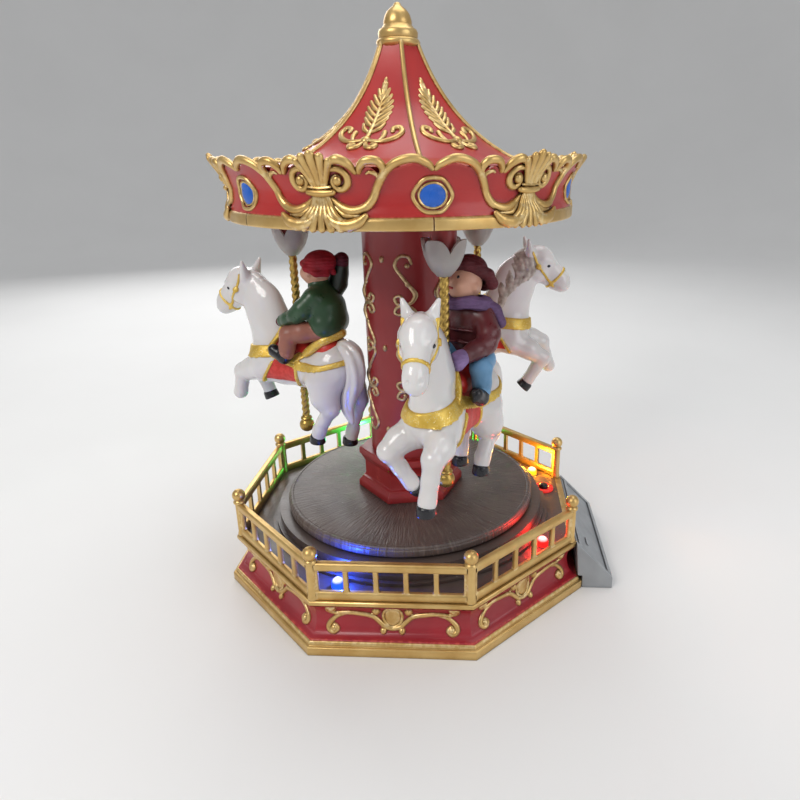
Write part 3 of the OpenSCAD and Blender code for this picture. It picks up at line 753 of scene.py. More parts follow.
def lamp_glow(name, bearing, colour, power):
    """The light that a lit lamp throws on the deck and the railing."""
    data = bpy.data.lights.new(name + "_glow", "POINT")
    data.color, data.energy, data.shadow_soft_size = colour, power, 1.2 * MM
    glow = bpy.data.objects.new(name + "_glow", data)
    glow.location = Vector(polar(bearing, LAMP_CIRCLE - 3.5, DECK_Z + 6.0)) * MM
    bpy.context.scene.collection.objects.link(glow)


place_camera()
studio()


# ---------------------------------------------------------------- base

def hollow_apothem(z):
    """Apothem of the hollow wall at a height, the quarter-rounds of the moulding."""
    t = math.acos(min(max(1 - (z - 5) / 6, -1), 1))
    return FOOT_A - 1.9 - math.degrees(t) / 150 - 3.2 * math.sin(t)


def wall_surface(bearing):
    a = math.radians(bearing)
    along = np.array([math.cos(a), math.sin(a), 0])
    return lambda u, v: polar(bearing, hollow_apothem(v), v) + u * along


def build_base():
    inner = FOOT_A - 7.9
    hollow = [(hollow_apothem(z), z) for z in np.linspace(5, 17, 25)]
    wall = polygon_sweep([(inner, 0.2), (FOOT_A - 1.6, 0.2), (FOOT_A - 1.6, 4.4), *hollow,
                          (LEDGE_A - 1.6, 17.3), (LEDGE_A - 1.6, 18.8), (DECK_A + 0.1, 18.8),
                          (DECK_A + 0.1, 17.1), (inner, 17.1)])
    piece("base_wall", wall, "base", "red_plastic", RED_BASE, replaces=["base_shell"], bevel=0.25)
    foot = [(FOOT_A - 2.4, 0), (FOOT_A, 0), (FOOT_A, 3.0), (FOOT_A - 0.35, 3.25), (FOOT_A - 1.0, 3.3),
            (FOOT_A - 1.0, 4.0), (FOOT_A - 1.45, 4.7), (FOOT_A - 2.4, 4.8)]
    gold("foot_moulding", polygon_sweep(foot), "base", bevel=0.22)
    ledge = [(LEDGE_A - 2.2, 16.9), (LEDGE_A - 0.9, 16.9), (LEDGE_A - 0.5, 17.5), (LEDGE_A, 17.7),
             (LEDGE_A, 18.8), (LEDGE_A - 0.35, LEDGE_Z), (LEDGE_A - 1.0, LEDGE_Z),
             (LEDGE_A - 1.2, LEDGE_Z + 0.1), (DECK_A - 0.2, LEDGE_Z + 0.1), (DECK_A - 0.2, 18.7),
             (LEDGE_A - 2.2, 18.7)]
    gold("ledge_moulding", polygon_sweep(ledge), "base", bevel=0.18)


SCROLL = [(-19, 13), (-15.1, 13.5), (-10.8, 13.1), (-6.9, 12.2), (-4.5, 10.1), (-2.5, 8.3), (0, 7.7)]
UPPER_CURL = [(-18, 13.1), (-20, 13.6), (-21.4, 14.7), (-20.9, 16.0), (-19.6, 15.7), (-19.7, 14.9)]
LOWER_CURL = [(-14.6, 13.3), (-18.4, 11.9), (-21, 9.3), (-21.3, 7.4), (-19.9, 6.6), (-18.7, 7.4),
              (-19.4, 8.3)]
WALL_CURLS = ((SCROLL, [0.75, 0.95, 0.9, 0.8]), (UPPER_CURL, [0.5, 0.95, 0.95, 1.0]),
              (LOWER_CURL, [0.55, 0.95, 1.05, 1.1]))
WALL_BEADS = ((5.4, 14.5, 1.4, 1.4, 1.3), (3.1, 7.2, 1.15, 1.15, 1.1), (20.2, 15.4, 1.15, 1.1, 1.25),
              (19.6, 7.7, 1.25, 1.25, 1.3))
WALL_TIP = [(6.0, 13.2), (7.4, 12.7), (8.6, 12.9)]
WALLS = (0, 45, 135, 180, 225, 270, 315)      # bearings of the walls with a railing; the ramp has the other


def wall_ornament(bearing):
    """Oval boss between two scrolls with curled ends and bead tips."""
    surface = wall_surface(bearing)
    made = Shape()
    for flip in BOTH_SIDES:
        for path, widths in WALL_CURLS:
            made.curl(surface, flip(path), widths)
        side = flip([(1, 0)])[0][0]
        for x, *rest in WALL_BEADS:
            made.boss(surface, x * side, *rest)
        made.curl(surface, flip(WALL_TIP), [0.3, 0.6, 0.4])
    made.add_shape(strand(oval((0, 12.1), 3.15, 3.9), [0.55], surface))
    return made.boss(surface, 0, 12.1, 2.7, 3.4, 0.75)


def oval(centre, width, tall, steps=36):
    a = np.linspace(0, TAU, steps)
    return np.stack([centre[0] + width * np.sin(a), centre[1] + tall * np.cos(a)], 1)


def build_wall_ornaments():
    for k, bearing in enumerate(WALLS, 1):
        gold(f"wall_ornament_{k}", wall_ornament(bearing), "base")


RAIL_LOW = round_profile([(-1.1, 0), (1.1, 0), (1.1, 2.0), (0.6, 2.9), (-0.6, 2.9), (-1.1, 2.0)], 0.2, 3)
RAIL_HIGH = round_profile([(-1.0, 10.8), (0.8, 10.8), (1.3, 11.4), (1.3, 13.2), (0.8, 13.9), (-0.9, 13.9),
                           (-1.3, 13.3), (-1.3, 11.3)], 0.25, 3)
PANEL_SPAN = 2 * (POST_CIRCLE * math.sin(math.radians(22.5)) - POST_R + 0.35)
BALUSTERS = 4


def baluster(y, width=0.85, depth=0.7):
    """A flat upright that flares where it meets the rails."""
    levels = [(2.5, 0.5), (3.3, 0.12), (3.8, 0), (10.1, 0), (10.6, 0.12), (11.2, 0.5)]
    rows = []
    for z, flare in levels:
        w, d = width + flare, depth
        outline = [(-d, -w), (d - 0.25, -w), (d, -w + 0.25), (d, w - 0.25), (d - 0.25, w), (-d, w)]
        rows += [(x, y + v, z) for x, v in outline]
    return Shape().add(rows, grid_faces(len(levels), 6, wrap_cols=True) + lids(len(levels), 6))


def build_railing():
    posts = Shape()
    foot = [(0, 0), (POST_R + 0.25, 0), (POST_R + 0.25, 0.8), (POST_R, 1.3), (POST_R, 13.2),
            (POST_R + 0.55, 13.6), (POST_R + 0.6, 14.2), (POST_R + 0.1, 14.8), (1.2, 15.2)]
    ball = [(2.42 * math.sin(a), 16.7 - 2.42 * math.cos(a)) for a in np.linspace(0.55, math.pi - 0.02, 16)]
    outline = np.array(foot + ball) + (0, DECK_Z)
    for k in range(8):
        x, y = polar(22.5 + 45 * k, POST_CIRCLE)[:2]
        posts.add_shape(lathe(outline, 40, closed=False, centre=(x, y)))
    gold("railing_post_set", posts, "base", replaces=["railing_posts"])
    pitch = PANEL_SPAN / (BALUSTERS + 1)
    for k, bearing in enumerate(WALLS, 1):
        panel = Shape()
        for rail in (RAIL_LOW, RAIL_HIGH):
            half = PANEL_SPAN / 2
            verts = [(a, y, z) for y in np.linspace(-half, half, 9) for a, z in rail]
            panel.add(verts, grid_faces(9, len(rail), wrap_cols=True) + lids(9, len(rail)))
        for i in range(BALUSTERS + 2):
            panel.add_shape(baluster(-PANEL_SPAN / 2 + i * pitch, 0.85 if 0 < i <= BALUSTERS else 0.9))
        made = Shape().add_shape(panel, lambda v, b=bearing: turned(b - 90)(v + (RAIL_A, 0, DECK_Z)))
        gold(f"railing_{k}", made, "base", replaces=[f"railing_panel_{k}"])


def build_ramp():
    """Grey ramp: a sunken slope between two raised borders, an upright lip, a step at its head."""
    far, near = high("entrance_ramp")[0], LEDGE_A + 0.25
    half = high("entrance_ramp")[1]
    slope = lambda x, sink: LEDGE_Z + (5 - LEDGE_Z) * (x - near) / (far - near) - sink
    under = [(near, 17.4), (FOOT_A - 2.3, 14.5), (FOOT_A - 1.6, 5.3), (FOOT_A + 0.15, 5.2),
             (FOOT_A + 0.15, 0)]
    made = prism([(far - 0.5, 0), (far - 0.5, 4.4), (near, slope(near, 0.8))] + under,
                 -half + 2.0, half - 2.0)
    for y in (-half, half - 2.2):
        made.add_shape(prism([(far, 0), (far, 4.6), (far - 0.5, 5.2), (near, LEDGE_Z)] + under, y, y + 2.2))
    for x, width in ((far - 1.6, 1.5), (near + 1.2, 1.4)):
        made.add_shape(prism([(x + width, slope(x + width, 1.6)), (x + width, slope(x + width, 0)),
                              (x, slope(x, 0)), (x, slope(x, 1.6))], -half + 2.0, half - 2.0))
    for y in (-half + 9.0, half - 14.0):
        x = near + 5.2
        made.add_shape(prism([(x + 0.9, slope(x + 0.9, 1.4)), (x + 0.9, slope(x + 0.9, 0.15)),
                              (x, slope(x, 0.15)), (x, slope(x, 1.4))], y, y + 5.0))
    piece("ramp", made, "base", "grey_plastic", GREY, replaces=["entrance_ramp"], bevel=0.3)


LAMP_CIRCLE = 59.2
LENS_R = 2.15
LAMP_BEARING = {"blue": -18.8, "red": 61.2, "yellow": 118.4, "green": 200.0}
LAMP_POWER = {"blue": 0.032, "red": 0.012, "yellow": 0.032, "green": 0.045}
LAMP_COLOUR = {"blue": (0.02, 0.08, 1.0), "red": (1.0, 0.03, 0.02), "yellow": (1.0, 0.40, 0.03),
               "green": (0.02, 1.0, 0.25)}


def build_lamps():
    for name in LAMPS:
        x, y = polar(LAMP_BEARING[name], LAMP_CIRCLE)[:2]
        dome = [(LENS_R * math.cos(a), DECK_Z + 1.0 + LENS_R * math.sin(a))
                for a in np.linspace(0, math.pi / 2 - 0.03, 12)]
        outline = [(0.02, 12.2), (2.7, 12.2), (2.7, 13.1), (LENS_R, 13.2), (LENS_R, DECK_Z + 0.1)] + dome
        piece(f"lamp_lens_{name}", lathe(outline, 40, closed=False, centre=(x, y)), "base", f"{name}_lens",
              LENS[name], replaces=[f"lamp_{name}"])
        lamp_glow(name, LAMP_BEARING[name], LAMP_COLOUR[name], LAMP_POWER[name])


def build_button():
    x, y = ((low("button_ring") + high("button_ring")) / 2)[:2]
    ring = round_profile([(2.02, 16), (3.1, 16), (3.1, DECK_Z), (4.4, DECK_Z), (4.2, DECK_Z + 0.9),
                          (3.5, DECK_Z + 1.15), (2.6, DECK_Z + 1.1), (2.02, DECK_Z + 0.6)], 0.25)
    piece("lit_ring", lathe(ring, 48, centre=(x, y)), "base", "ring_red", RING_RED, replaces=["button_ring"])
    cap = [(0.02, 14.3), (2.8, 14.3), (2.8, 15.6), (1.93, 15.8), (1.93, DECK_Z + 1.5), (1.75, DECK_Z + 2.0),
           (1.3, DECK_Z + 2.35), (0.7, DECK_Z + 2.5), (0.02, DECK_Z + 2.52)]
    piece("button_cap", lathe(cap, 48, closed=False, centre=(x, y)), "button", "button_black", BLACK,
          replaces=["push_button"])


build_base()
build_wall_ornaments()
build_railing()
build_ramp()
build_lamps()
build_button()


# ---------------------------------------------------------------- turntable and column

def build_turntable():
    under = low("drive_gear")[2] - 1
    edge = [(0.4, 3.9), (0, 3.4), (0, 1.4), (0.35, 1.1), (0.35, 0.8), (0.6, 0.3), (1.0, 0), (1.7, 0),
            (1.9, 0.2), (2.2, 0)]
    outline = [(2.1, under), (7, under), (7, TABLE_Z - 3.9)] + [
        (TABLE_R - inward, TABLE_Z - down) for inward, down in edge] + [(2.1, TABLE_Z)]
    piece("turntable_disc", lathe(round_profile(outline, 0.2, 3), 160), "carousel", "deck_plastic", TABLE,
          replaces=["turntable"])


def column_surface(bearing):
    return lambda u, v: polar(bearing + math.degrees(u / COLUMN_R), COLUMN_R, v)


VINE = [(2.6, 14.6), (1.5, 16.9), (-1.3, 17.1), (-3.2, 14.1), (-0.9, 10.3), (2.1, 6.4), (3.8, 3.8),
        (2.6, 1.3), (0, 0), (-2.6, -0.6), (-3.6, -2.6), (-1.7, -3.4), (-0.8, -2.1)]
VINE_LEVELS = (74.5, 106.5)


def vine(surface, side, level, up):
    """One S of the vine: a long stem with a curl at each end, a bead in each curl, a leaf where it swells."""
    place = lambda pts: [(side * (8.0 + u), level + up * v) for u, v in pts]
    widths = [0.45, 0.6, 0.65, 0.6, 0.6, 0.7, 1.0, 0.75, 0.7, 0.65, 0.55, 0.55, 0.7]
    made = Shape().curl(surface, place(VINE), widths, 0.9, 8, per=5)
    for u, v, r in ((1.1, 13.9, 0.95), (-0.8, -1.7, 0.8)):
        spot = place([(u, v)])[0]
        made.boss(surface, *spot, r, r, 0.95, 4, 16)
    return made.curl(surface, place([(2.2, 6.3), (0.9, 7.4), (0.6, 9.0)]), [0.5, 0.75, 0.3], 0.8, 8, per=4)


def build_column():
    outline = [(COLUMN_BORE, TABLE_Z), (COLUMN_R, TABLE_Z)]
    outline += [(COLUMN_R, z) for z in np.linspace(50, CEILING_Z - 3, 8)]
    outline += [(COLUMN_R + 0.5, CEILING_Z - 2.4), (COLUMN_R + 0.5, CEILING_Z), (COLUMN_BORE, CEILING_Z)]
    piece("column_shaft", lathe(outline, 96), "carousel", "red_plastic", RED_SHADED, replaces=["column"])
    to_flat = math.cos(math.pi / 6)
    mould = [(0, 0), (0, 2.2), (0.5, 2.9), (1.2, 3.4), (1.6, 4.3), (2.6, 4.8), (2.9, 5.6), (2.9, 11.2),
             (2.4, 11.5), (2.4, 12.1), (1.6, 13.0), (1.3, 14.0), (0.7, 14.3), (0.7, 16.2), (1.1, PLINTH_H)]
    steps = [(13, 0)] + [(PLINTH_R - inward, z) for inward, z in mould] + [(13, PLINTH_H)]
    outline = [(r * to_flat, TABLE_Z + z) for r, z in steps]
    piece("plinth", polygon_sweep(outline, 6, PLINTH_BEARING), "carousel", "red_plastic", RED_SHADED,
          bevel=0.22)
    for k in range(3):
        surface = column_surface(-24.5 + 120 * k)
        made = Shape()
        for level in VINE_LEVELS:
            for side in (-1, 1):
                for up in (-1, 1):
                    made.add_shape(vine(surface, side, level, up))
        for level in (58.5, 90.5, 122.5):
            made.boss(surface, 0, level, 0.9, 1.3, 0.8, 4, 16)
        piece(f"column_vines_{k + 1}", made, "carousel", "gold_plastic", GOLD_SHADED)


# ---------------------------------------------------------------- canopy

RIM_PROFILE = [(0, 0), (4.6, 0), (6.6, -0.8), (10.6, -0.6), (15.1, 1.2), (19.5, 3.9), (20.6, 4.0)]
SCALLOP = [(0, 19), (3.8, 19), (7.3, 18), (10, 16), (11.2, 15.6), (14.2, 17.9), (17.7, 15.2), (21, 17.2),
           (26.5, 18.7), (30, 17.2), (31.4, 16.6)]
ARC_R = 60.0
HALF_PERIOD = ARC_R * math.radians(30)


def rim_radius(v):
    return RIM_R + np.interp(v, *zip(*RIM_PROFILE))


def rim_surface(bearing, proud=0.0):
    return lambda u, v: polar(bearing + math.degrees(u / ARC_R), rim_radius(v) + proud, RIM_Z + v)


def scallop_height(u):
    folded = abs((u + HALF_PERIOD) % (2 * HALF_PERIOD) - HALF_PERIOD)
    return np.interp(folded, *zip(*SCALLOP)) - 0.8


def build_valance_sheet():
    """The red skirt under the scrolls, 1.5 mm thick, its top edge following them."""
    columns, levels = 360, 16
    outer, inner = [], []
    for j in range(levels):
        for i in range(columns):
            bearing = i * 360 / columns
            top = scallop_height((bearing - FLEUR_BEARING) * math.radians(1) * ARC_R)
            v = top * j / (levels - 1)
            outer.append(polar(bearing, rim_radius(v), RIM_Z + v))
            inner.append(polar(bearing, rim_radius(v) - 1.5, RIM_Z + v))
    n = columns * levels
    out_faces = grid_faces(levels, columns, wrap_cols=True)
    in_faces = [tuple(n + k for k in f[::-1]) for f in out_faces]
    edge = []
    for i in range(columns):
        j = (i + 1) % columns
        top = n - columns
        edge.append((top + i, top + j, n + top + j, n + top + i))
        edge.append((i, n + i, n + j, j))
    made = Shape().add(outer + inner, out_faces + in_faces + edge)
    piece("valance_skirt", made, "carousel", "red_plastic", RED, replaces=["canopy_valance"])


def build_rim_band():
    """Gold lower band, in six lengths that meet under the jewels."""
    corners = [(-1.4, -0.1), (0.5, 0.0), (0.8, 0.5), (0.8, 2.9), (0.3, 3.7), (-0.3, 3.8), (-1.4, 3.8)]
    section = round_profile([(RIM_R + out, z) for out, z in corners], 0.3, 3)
    made = Shape()
    n = len(section)
    for k in range(6):
        bearings = JEWEL_BEARING + 60 * k + np.linspace(0.18, 59.82, 60)
        verts = [polar(b, r, RIM_Z + max(z, 0.02)) for b in bearings for r, z in section]
        ends = [tuple(range(n)), tuple(range(59 * n, 60 * n))[::-1]]
        made.add(verts, [f[::-1] for f in grid_faces(60, n, wrap_cols=True)] + ends)
    gold("rim_band", made, "carousel")


ARM = [(2.6, 8.9), (5.4, 6.6), (8.8, 5.5), (12.2, 6.2), (14.6, 8.4), (16.3, 12), (18.4, 15.4), (21.6, 18.0),
       (26.0, 19.0), (29.6, 17.6), (30.9, 16.4)]
BRANCH = [(17.6, 14.2), (18.1, 16.6), (16.6, 18.4), (13.8, 18.4), (12.2, 17.0), (11.7, 15.7)]
INNER_LEAF = [(16.9, 13.4), (16.2, 14.9), (14.6, 15.6), (13.6, 15.2)]
SHOULDER = [(3.2, 17.6), (6.4, 18.9), (9.0, 17.8), (10.6, 15.6)]
HORN = [(1.6, 4.6), (4.0, 2.4), (7.4, 1.7), (10.6, 2.5), (12.8, 4.3)]
SKIRT_LEAF = [(3.0, 7.2), (6.6, 4.4), (10.6, 4.2)]


def fleuron(bearing):
    """Fan of five lobes on a collar and a flared skirt, with a volute, an arm and a horn on each side."""
    surface = rim_surface(bearing)
    proud = rim_surface(bearing, 0.9)
    made = Shape()
    for top, lean, w in ((0, 0, 1.45), (2.5, 0.5, 1.25), (4.5, 1.6, 1.1)):
        for side in sides_of(top):
            lobe = [(side * top * 0.28, 10.0), (side * top * 0.55, 14.2), (side * top, 19.9 - lean)]
            made.curl(proud, lobe, [0.6, 0.8, w * 0.85, w], 0.75, per=5)
    for top, w in ((0, 1.1), (3.0, 1.1), (6.0, 1.0), (8.8, 0.85)):
        for side in sides_of(top):
            flute = [(side * top * 0.22, 9.4), (side * top * 0.42, 5.2), (side * top * 0.95, 0.8)]
            made.curl(proud, flute, [0.65, 0.8, w, w * 1.1], 0.8, per=5)
    made.add_shape(strand([(-3.7, 10.4), (-1.3, 10.2), (1.3, 10.2), (3.7, 10.4)], [0.9, 1.15, 1.15, 0.9],
                          proud, 1.2))
    made.add_shape(strand([(-3.2, 11.9), (0, 11.7), (3.2, 11.9)], [0.45, 0.55, 0.45], proud, 1.6, 8))
    for flip in BOTH_SIDES:
        volute = flip(hook((5.6, 13.4), 3.3, 0.9, 110, -300, 34))
        made.add_shape(strand(volute, [0.9, 1.15, 0.95, 0.7], surface, 0.95))
        made.boss(proud, 5.5 * np.sign(volute[0][0]), 13.4, 1.25, 1.25, 1.0)
        for on, path, widths, height, per in (
                (surface, SHOULDER, [0.9, 1.3, 1.2, 0.75], 0.95, 6),
                (surface, ARM, [0.7, 1.25, 1.35, 1.3, 1.15, 1.2, 1.2, 1.25, 1.1, 0.75], 0.9, 7),
                (surface, BRANCH, [0.8, 1.1, 1.2, 1.1, 0.8], 0.95, 6),
                (surface, INNER_LEAF, [0.4, 0.65, 0.35], 0.8, 6),
                (proud, HORN, [0.8, 1.4, 1.75, 1.6, 0.8], 0.8, 6),
                (surface, SKIRT_LEAF, [0.6, 0.9, 0.5], 1, 6)):
            made.curl(on, flip(path), widths, height, per=per)
    return made


def build_jewels():
    frames, stones = Shape(), Shape()
    for k in range(6):
        surface = rim_surface(JEWEL_BEARING + 60 * k)
        frame = [(0, 4.75), (2.4, 4.35), (4.3, 2.6), (5.6, 0), (4.3, -2.6), (2.4, -4.2), (0, -4.5)]
        loop = smooth_path(frame, 6)
        loop = np.vstack([loop, mirrored(loop[::-1])]) + (0, 9.4)
        frames.add_shape(strand(loop, [0.62], surface, 1.15))
        frames.add_shape(strand(oval((0, 9.4), 4.0, 3.4), [0.42], surface, 1.0, 8))
        stones.boss(surface, 0, 9.4, 3.85, 3.3, 0.95, 8, 36)
    gold("jewel_frames", frames, "carousel")
    piece("jewel_stones", stones, "carousel", "jewel_blue", JEWEL, replaces=["valance_jewels"])


def sweep_point(t):
    """The tent's hollow curve: radius and height for t from the brim's inner edge to the crown."""
    return 40 - 46.5 * t + 13.3 * t * t, 155 + 22 * t + 14 * t * t


def roof_radius(bearing, radius, share):
    """Six flat panels near the crown melt into a round brim."""
    off = (bearing - JEWEL_BEARING) % 60 - 30
    flat = math.cos(math.radians(30)) / math.cos(math.radians(off))
    blend = min(max(share * 1.5, 0), 0.9)
    return radius * (1 - blend + blend * flat)


def roof_line():
    brim = [(RIM_R - 0.2, 153.3), (54, 153.9), (49, 154.3), (44, 154.7)]
    rise = [sweep_point(t) for t in np.linspace(0, 1, 36)]
    return brim + rise


def build_roof():
    """Thin tent, its underside 1.6 mm below."""
    columns = 240
    line = roof_line()
    upper, under = [], []
    for j, (radius, z) in enumerate(line):
        share = max(j - 3, 0) / (len(line) - 4)
        for i in range(columns):
            b = i * 360 / columns
            r = roof_radius(b, radius, share)
            upper.append(polar(b, r, z))
            under.append(polar(b, max(r - 1.2, 0.3), z - 1.5))
    n = columns * len(line)
    faces = grid_faces(len(line), columns, wrap_cols=True)
    inner = [tuple(n + k for k in f[::-1]) for f in faces]
    edge = [(i, n + i, n + (i + 1) % columns, (i + 1) % columns) for i in range(columns)]
    last = n - columns
    caps = [tuple(last + i for i in range(columns)), tuple(n + last + i for i in range(columns))[::-1]]
    tent = Shape().add(upper + under, faces + inner + edge + caps)
    piece("roof_tent", tent, "carousel", "red_plastic", RED, replaces=["canopy_roof"])


ROOF_T = np.linspace(0, 1, 200)
ROOF_ARC = np.concatenate([[0], np.cumsum(np.hypot(*np.diff([sweep_point(t) for t in ROOF_T], axis=0).T))])
BALL_T = 0.225


def roof_surface(bearing, proud=0.0):
    """u runs across the panel and v up the slope from the motif's lowest ball."""
    start = np.interp(BALL_T, ROOF_T, ROOF_ARC)

    def at(u, v):
        t = np.interp(start + v, ROOF_ARC, ROOF_T)
        radius, z = sweep_point(t)
        b = bearing + math.degrees(u / max(radius, 4))
        return polar(b, roof_radius(b, radius, t) + proud, z + proud * 0.5)
    return at


PALMETTE_ARM = [(1.2, -0.2), (5.4, -0.9), (9.2, 0.9), (10.8, 3.7), (9.6, 6.0), (7.6, 5.6), (7.7, 4.2)]
PALMETTE_FOOT = [(0.6, -1.6), (1.6, -3.6), (3.6, -4.4), (4.4, -3.0), (3.2, -2.4)]
PALMETTE_CURLS = ((PALMETTE_ARM, [0.7, 0.95, 0.95, 0.9, 0.75]), (PALMETTE_FOOT, [0.7, 1.0, 1.0, 0.8]),
                  ([(4.6, -0.4), (5.4, 1.9), (5.2, 3.8)], [0.5, 0.8, 0.9]),
                  ([(0.5, 3.8), (2.6, 5.4), (3.9, 8.0)], [0.6, 0.85, 0.5]))


def palmette(bearing):
    """Leaf of seven pairs of lobes over a ball, a scrolled arm and a curl on each side."""
    surface = roof_surface(bearing)
    made = Shape().boss(surface, 0, 0, 1.6, 1.6, 1.2)
    made.curl(surface, [(0, 0.5), (0, 8), (0, 15), (0, 24.5)], [0.8, 0.75, 0.6, 0.4])
    for flip in BOTH_SIDES:
        for path, widths in PALMETTE_CURLS:
            made.curl(surface, flip(path), widths)
        for i in range(7):
            base = 6.6 + 2.3 * i
            reach = 5.2 * math.sin(math.pi * (0.30 + 0.092 * i)) - 0.30 * i
            lobe = [(0.3, base), (reach * 0.55, base + 1.6), (reach, base + 4.1)]
            made.curl(surface, flip(lobe), [0.55, 0.85, 0.55], 0.85, 8, per=4)
    return made.boss(surface, 0, 25.2, 0.8, 1.7, 0.8, 5, 18)


def build_canopy():
    build_valance_sheet()
    build_rim_band()
    build_jewels()
    build_roof()
    for k in range(6):
        gold(f"fleuron_{k + 1}", fleuron(FLEUR_BEARING + 60 * k), "carousel")
        gold(f"palmette_{k + 1}", palmette(FLEUR_BEARING + 60 * k), "carousel")
    ribs = Shape()
    for k in range(6):
        bearing = JEWEL_BEARING + 60 * k
        surface = lambda u, v: polar(bearing + math.degrees(u / 30), *rib_point(v))
        ribs.add_shape(strand([(0, v) for v in np.linspace(0, 1, 30)], [0.75, 0.8, 0.8, 0.7], surface, 0.9))
    gold("roof_ribs", ribs, "carousel")
    build_finial()


def rib_point(v):
    """Radius and height of the roof's line, v from 0 at the brim to 1 at the crown."""
    line = roof_line()
    place = 1 + v * (len(line) - 2.02)
    r, z = [np.interp(place, range(len(line)), [p[k] for p in line]) for k in (0, 1)]
    return r, z


def build_finial():
    turns = [(0.05, -1.4), (5.6, -1.4), (6.6, -1.0), (7.1, -0.2), (7.3, 0.6), (6.9, 1.3), (6.3, 1.7),
             (6.5, 2.2), (6.6, 3.4), (6.2, 4.3), (5.3, 4.8), (5.0, 5.3), (4.6, 5.8), (4.7, 6.4),
             (4.5, 7.4), (4.1, 8.6), (3.5, 9.6), (2.7, 10.4), (1.9, 11.0), (1.25, 11.5), (1.1, 12.0)]
    skirt = [(r, FINIAL_Z + z) for r, z in turns] + [(0.7, APEX_Z - 0.2), (0.05, APEX_Z)]
    gold("finial_knob", lathe(skirt, 64, closed=False), "carousel", replaces=["finial"])


# ---------------------------------------------------------------- poles, caps and tubes

def tulip(centre, turn):
    """Frosted flower of four pointed petals, 1 mm thick, open upward."""
    base, height = low("tulip_cap_1")[2], 0.86 * (high("tulip_cap_1")[2] - low("tulip_cap_1")[2])
    columns, levels = 96, 18
    profile = ([0, 0.14, 0.32, 0.55, 0.8, 1.0], [2.2, 3.7, 5.0, 6.0, 6.5, 6.7])
    rows = {"out": [], "in": []}
    for key, thin in (("out", 0.0), ("in", 1.0)):
        for j in range(levels):
            for i in range(columns):
                a = i * TAU / columns
                petal = abs(math.sin(2 * (a - turn)))
                top = 1.0 - 0.36 * (1 - petal) ** 1.6
                h = top * j / (levels - 1)
                r = np.interp(h, *profile) * (1 + 0.16 * h * (petal - 0.45)) - thin
                z = base + height * h + (thin * 0.8 if j == 0 else 0)
                r = max(r, 1.9)
                rows[key].append((centre[0] + r * math.cos(a), centre[1] + r * math.sin(a), z))
    n = columns * levels
    faces = grid_faces(levels, columns, wrap_cols=True)
    ring = range(columns)
    edge = [(n - columns + i, n - columns + (i + 1) % columns, 2 * n - columns + (i + 1) % columns,
             2 * n - columns + i) for i in ring]
    caps = [tuple(ring)[::-1], tuple(n + i for i in ring)]
    inner = [tuple(n + k for k in f[::-1]) for f in faces]
    return Shape().add(rows["out"] + rows["in"], faces + inner + edge + caps)


def build_poles():
    twist = lambda ang, r, z: r if r != POLE_R else POLE_R - 0.22 + 0.2 * np.cos(3 * (ang - TAU * z / 7.8))
    for i in (1, 2, 3):
        x, y = POLE_XY[i - 1]
        ball_z = low(f"pole_{i}")[2] + 3
        ball = [(3 * math.sin(a), ball_z - 3 * math.cos(a)) for a in np.linspace(0.02, 2.35, 16)]
        collar = [(2.1, ball_z + 2.4), (2.35, ball_z + 2.9), (2.1, ball_z + 3.5), (1.75, ball_z + 3.7)]
        top = high(f"pole_{i}")[2]
        rod = [(POLE_R, z) for z in np.arange(ball_z + 3.9, top, 0.55)] + [(1.4, top), (0.05, top)]
        pole = lathe(ball + collar + rod, 36, closed=False, centre=(x, y), radius_of=twist)
        piece(f"twisted_pole_{i}", pole, f"ride_{i}", "gold_plastic", POLE_GOLD, replaces=[f"pole_{i}"])
        piece(f"tulip_{i}", tulip((x, y), math.atan2(y, x)), "carousel", "cap_frosted", FROST,
              replaces=[f"tulip_cap_{i}"])
        tube_low, tube_top = low(f"guide_tube_{i}")[2], high(f"guide_tube_{i}")[2]
        tube = round_profile([(1.75, tube_low), (3.6, tube_low), (4.0, tube_low + 0.5), (4.0, tube_top),
                              (1.75, tube_top)], 0.3)
        piece(f"tube_{i}", lathe(tube, 48, centre=(x, y)), "carousel", "red_plastic", RED_SHADED,
              replaces=[f"guide_tube_{i}"])


build_turntable()
build_column()
build_canopy()
build_poles()


# ---------------------------------------------------------------- horses

# Horse frame: origin on the pole at the saddle's level, +X toward the nose, +Y its left side.
HORSE_LOW, HORSE_HIGH, HORSE_STEP = (-31.0, -15.0, -39.0), (43.0, 13.5, 41.5), 0.5


class Casting:
    """One moulded pose: turn of the head to the left, knee and fetlock of the forelegs, their black hooves,
    and how much shorter the left and the right hind leg are."""

    def __init__(self, turn, left, right, fore_hooves, hind_lift=(0, 0)):
        self.turn, self.left, self.right, self.hind_lift = math.radians(turn), left, right, hind_lift
        self.hooves = fore_hooves + [((-10.0, 6.2, -30.2 + hind_lift[0]), 0.1, -4),
                                     ((-17.4, -5.5, -34.3 + hind_lift[1]), 0.1, -3)]

    def head(self, x, y, z):
        """A point of the straight head moved to where the turned head has it."""
        c, s = math.cos(self.turn), math.sin(self.turn)
        return HEAD_PIVOT + (x - HEAD_PIVOT) * c - y * s, (x - HEAD_PIVOT) * s + y * c, z

    def unturned(self, x, y):
        c, s = math.cos(self.turn), math.sin(self.turn)
        return HEAD_PIVOT + (x - HEAD_PIVOT) * c + y * s, y * c - (x - HEAD_PIVOT) * s


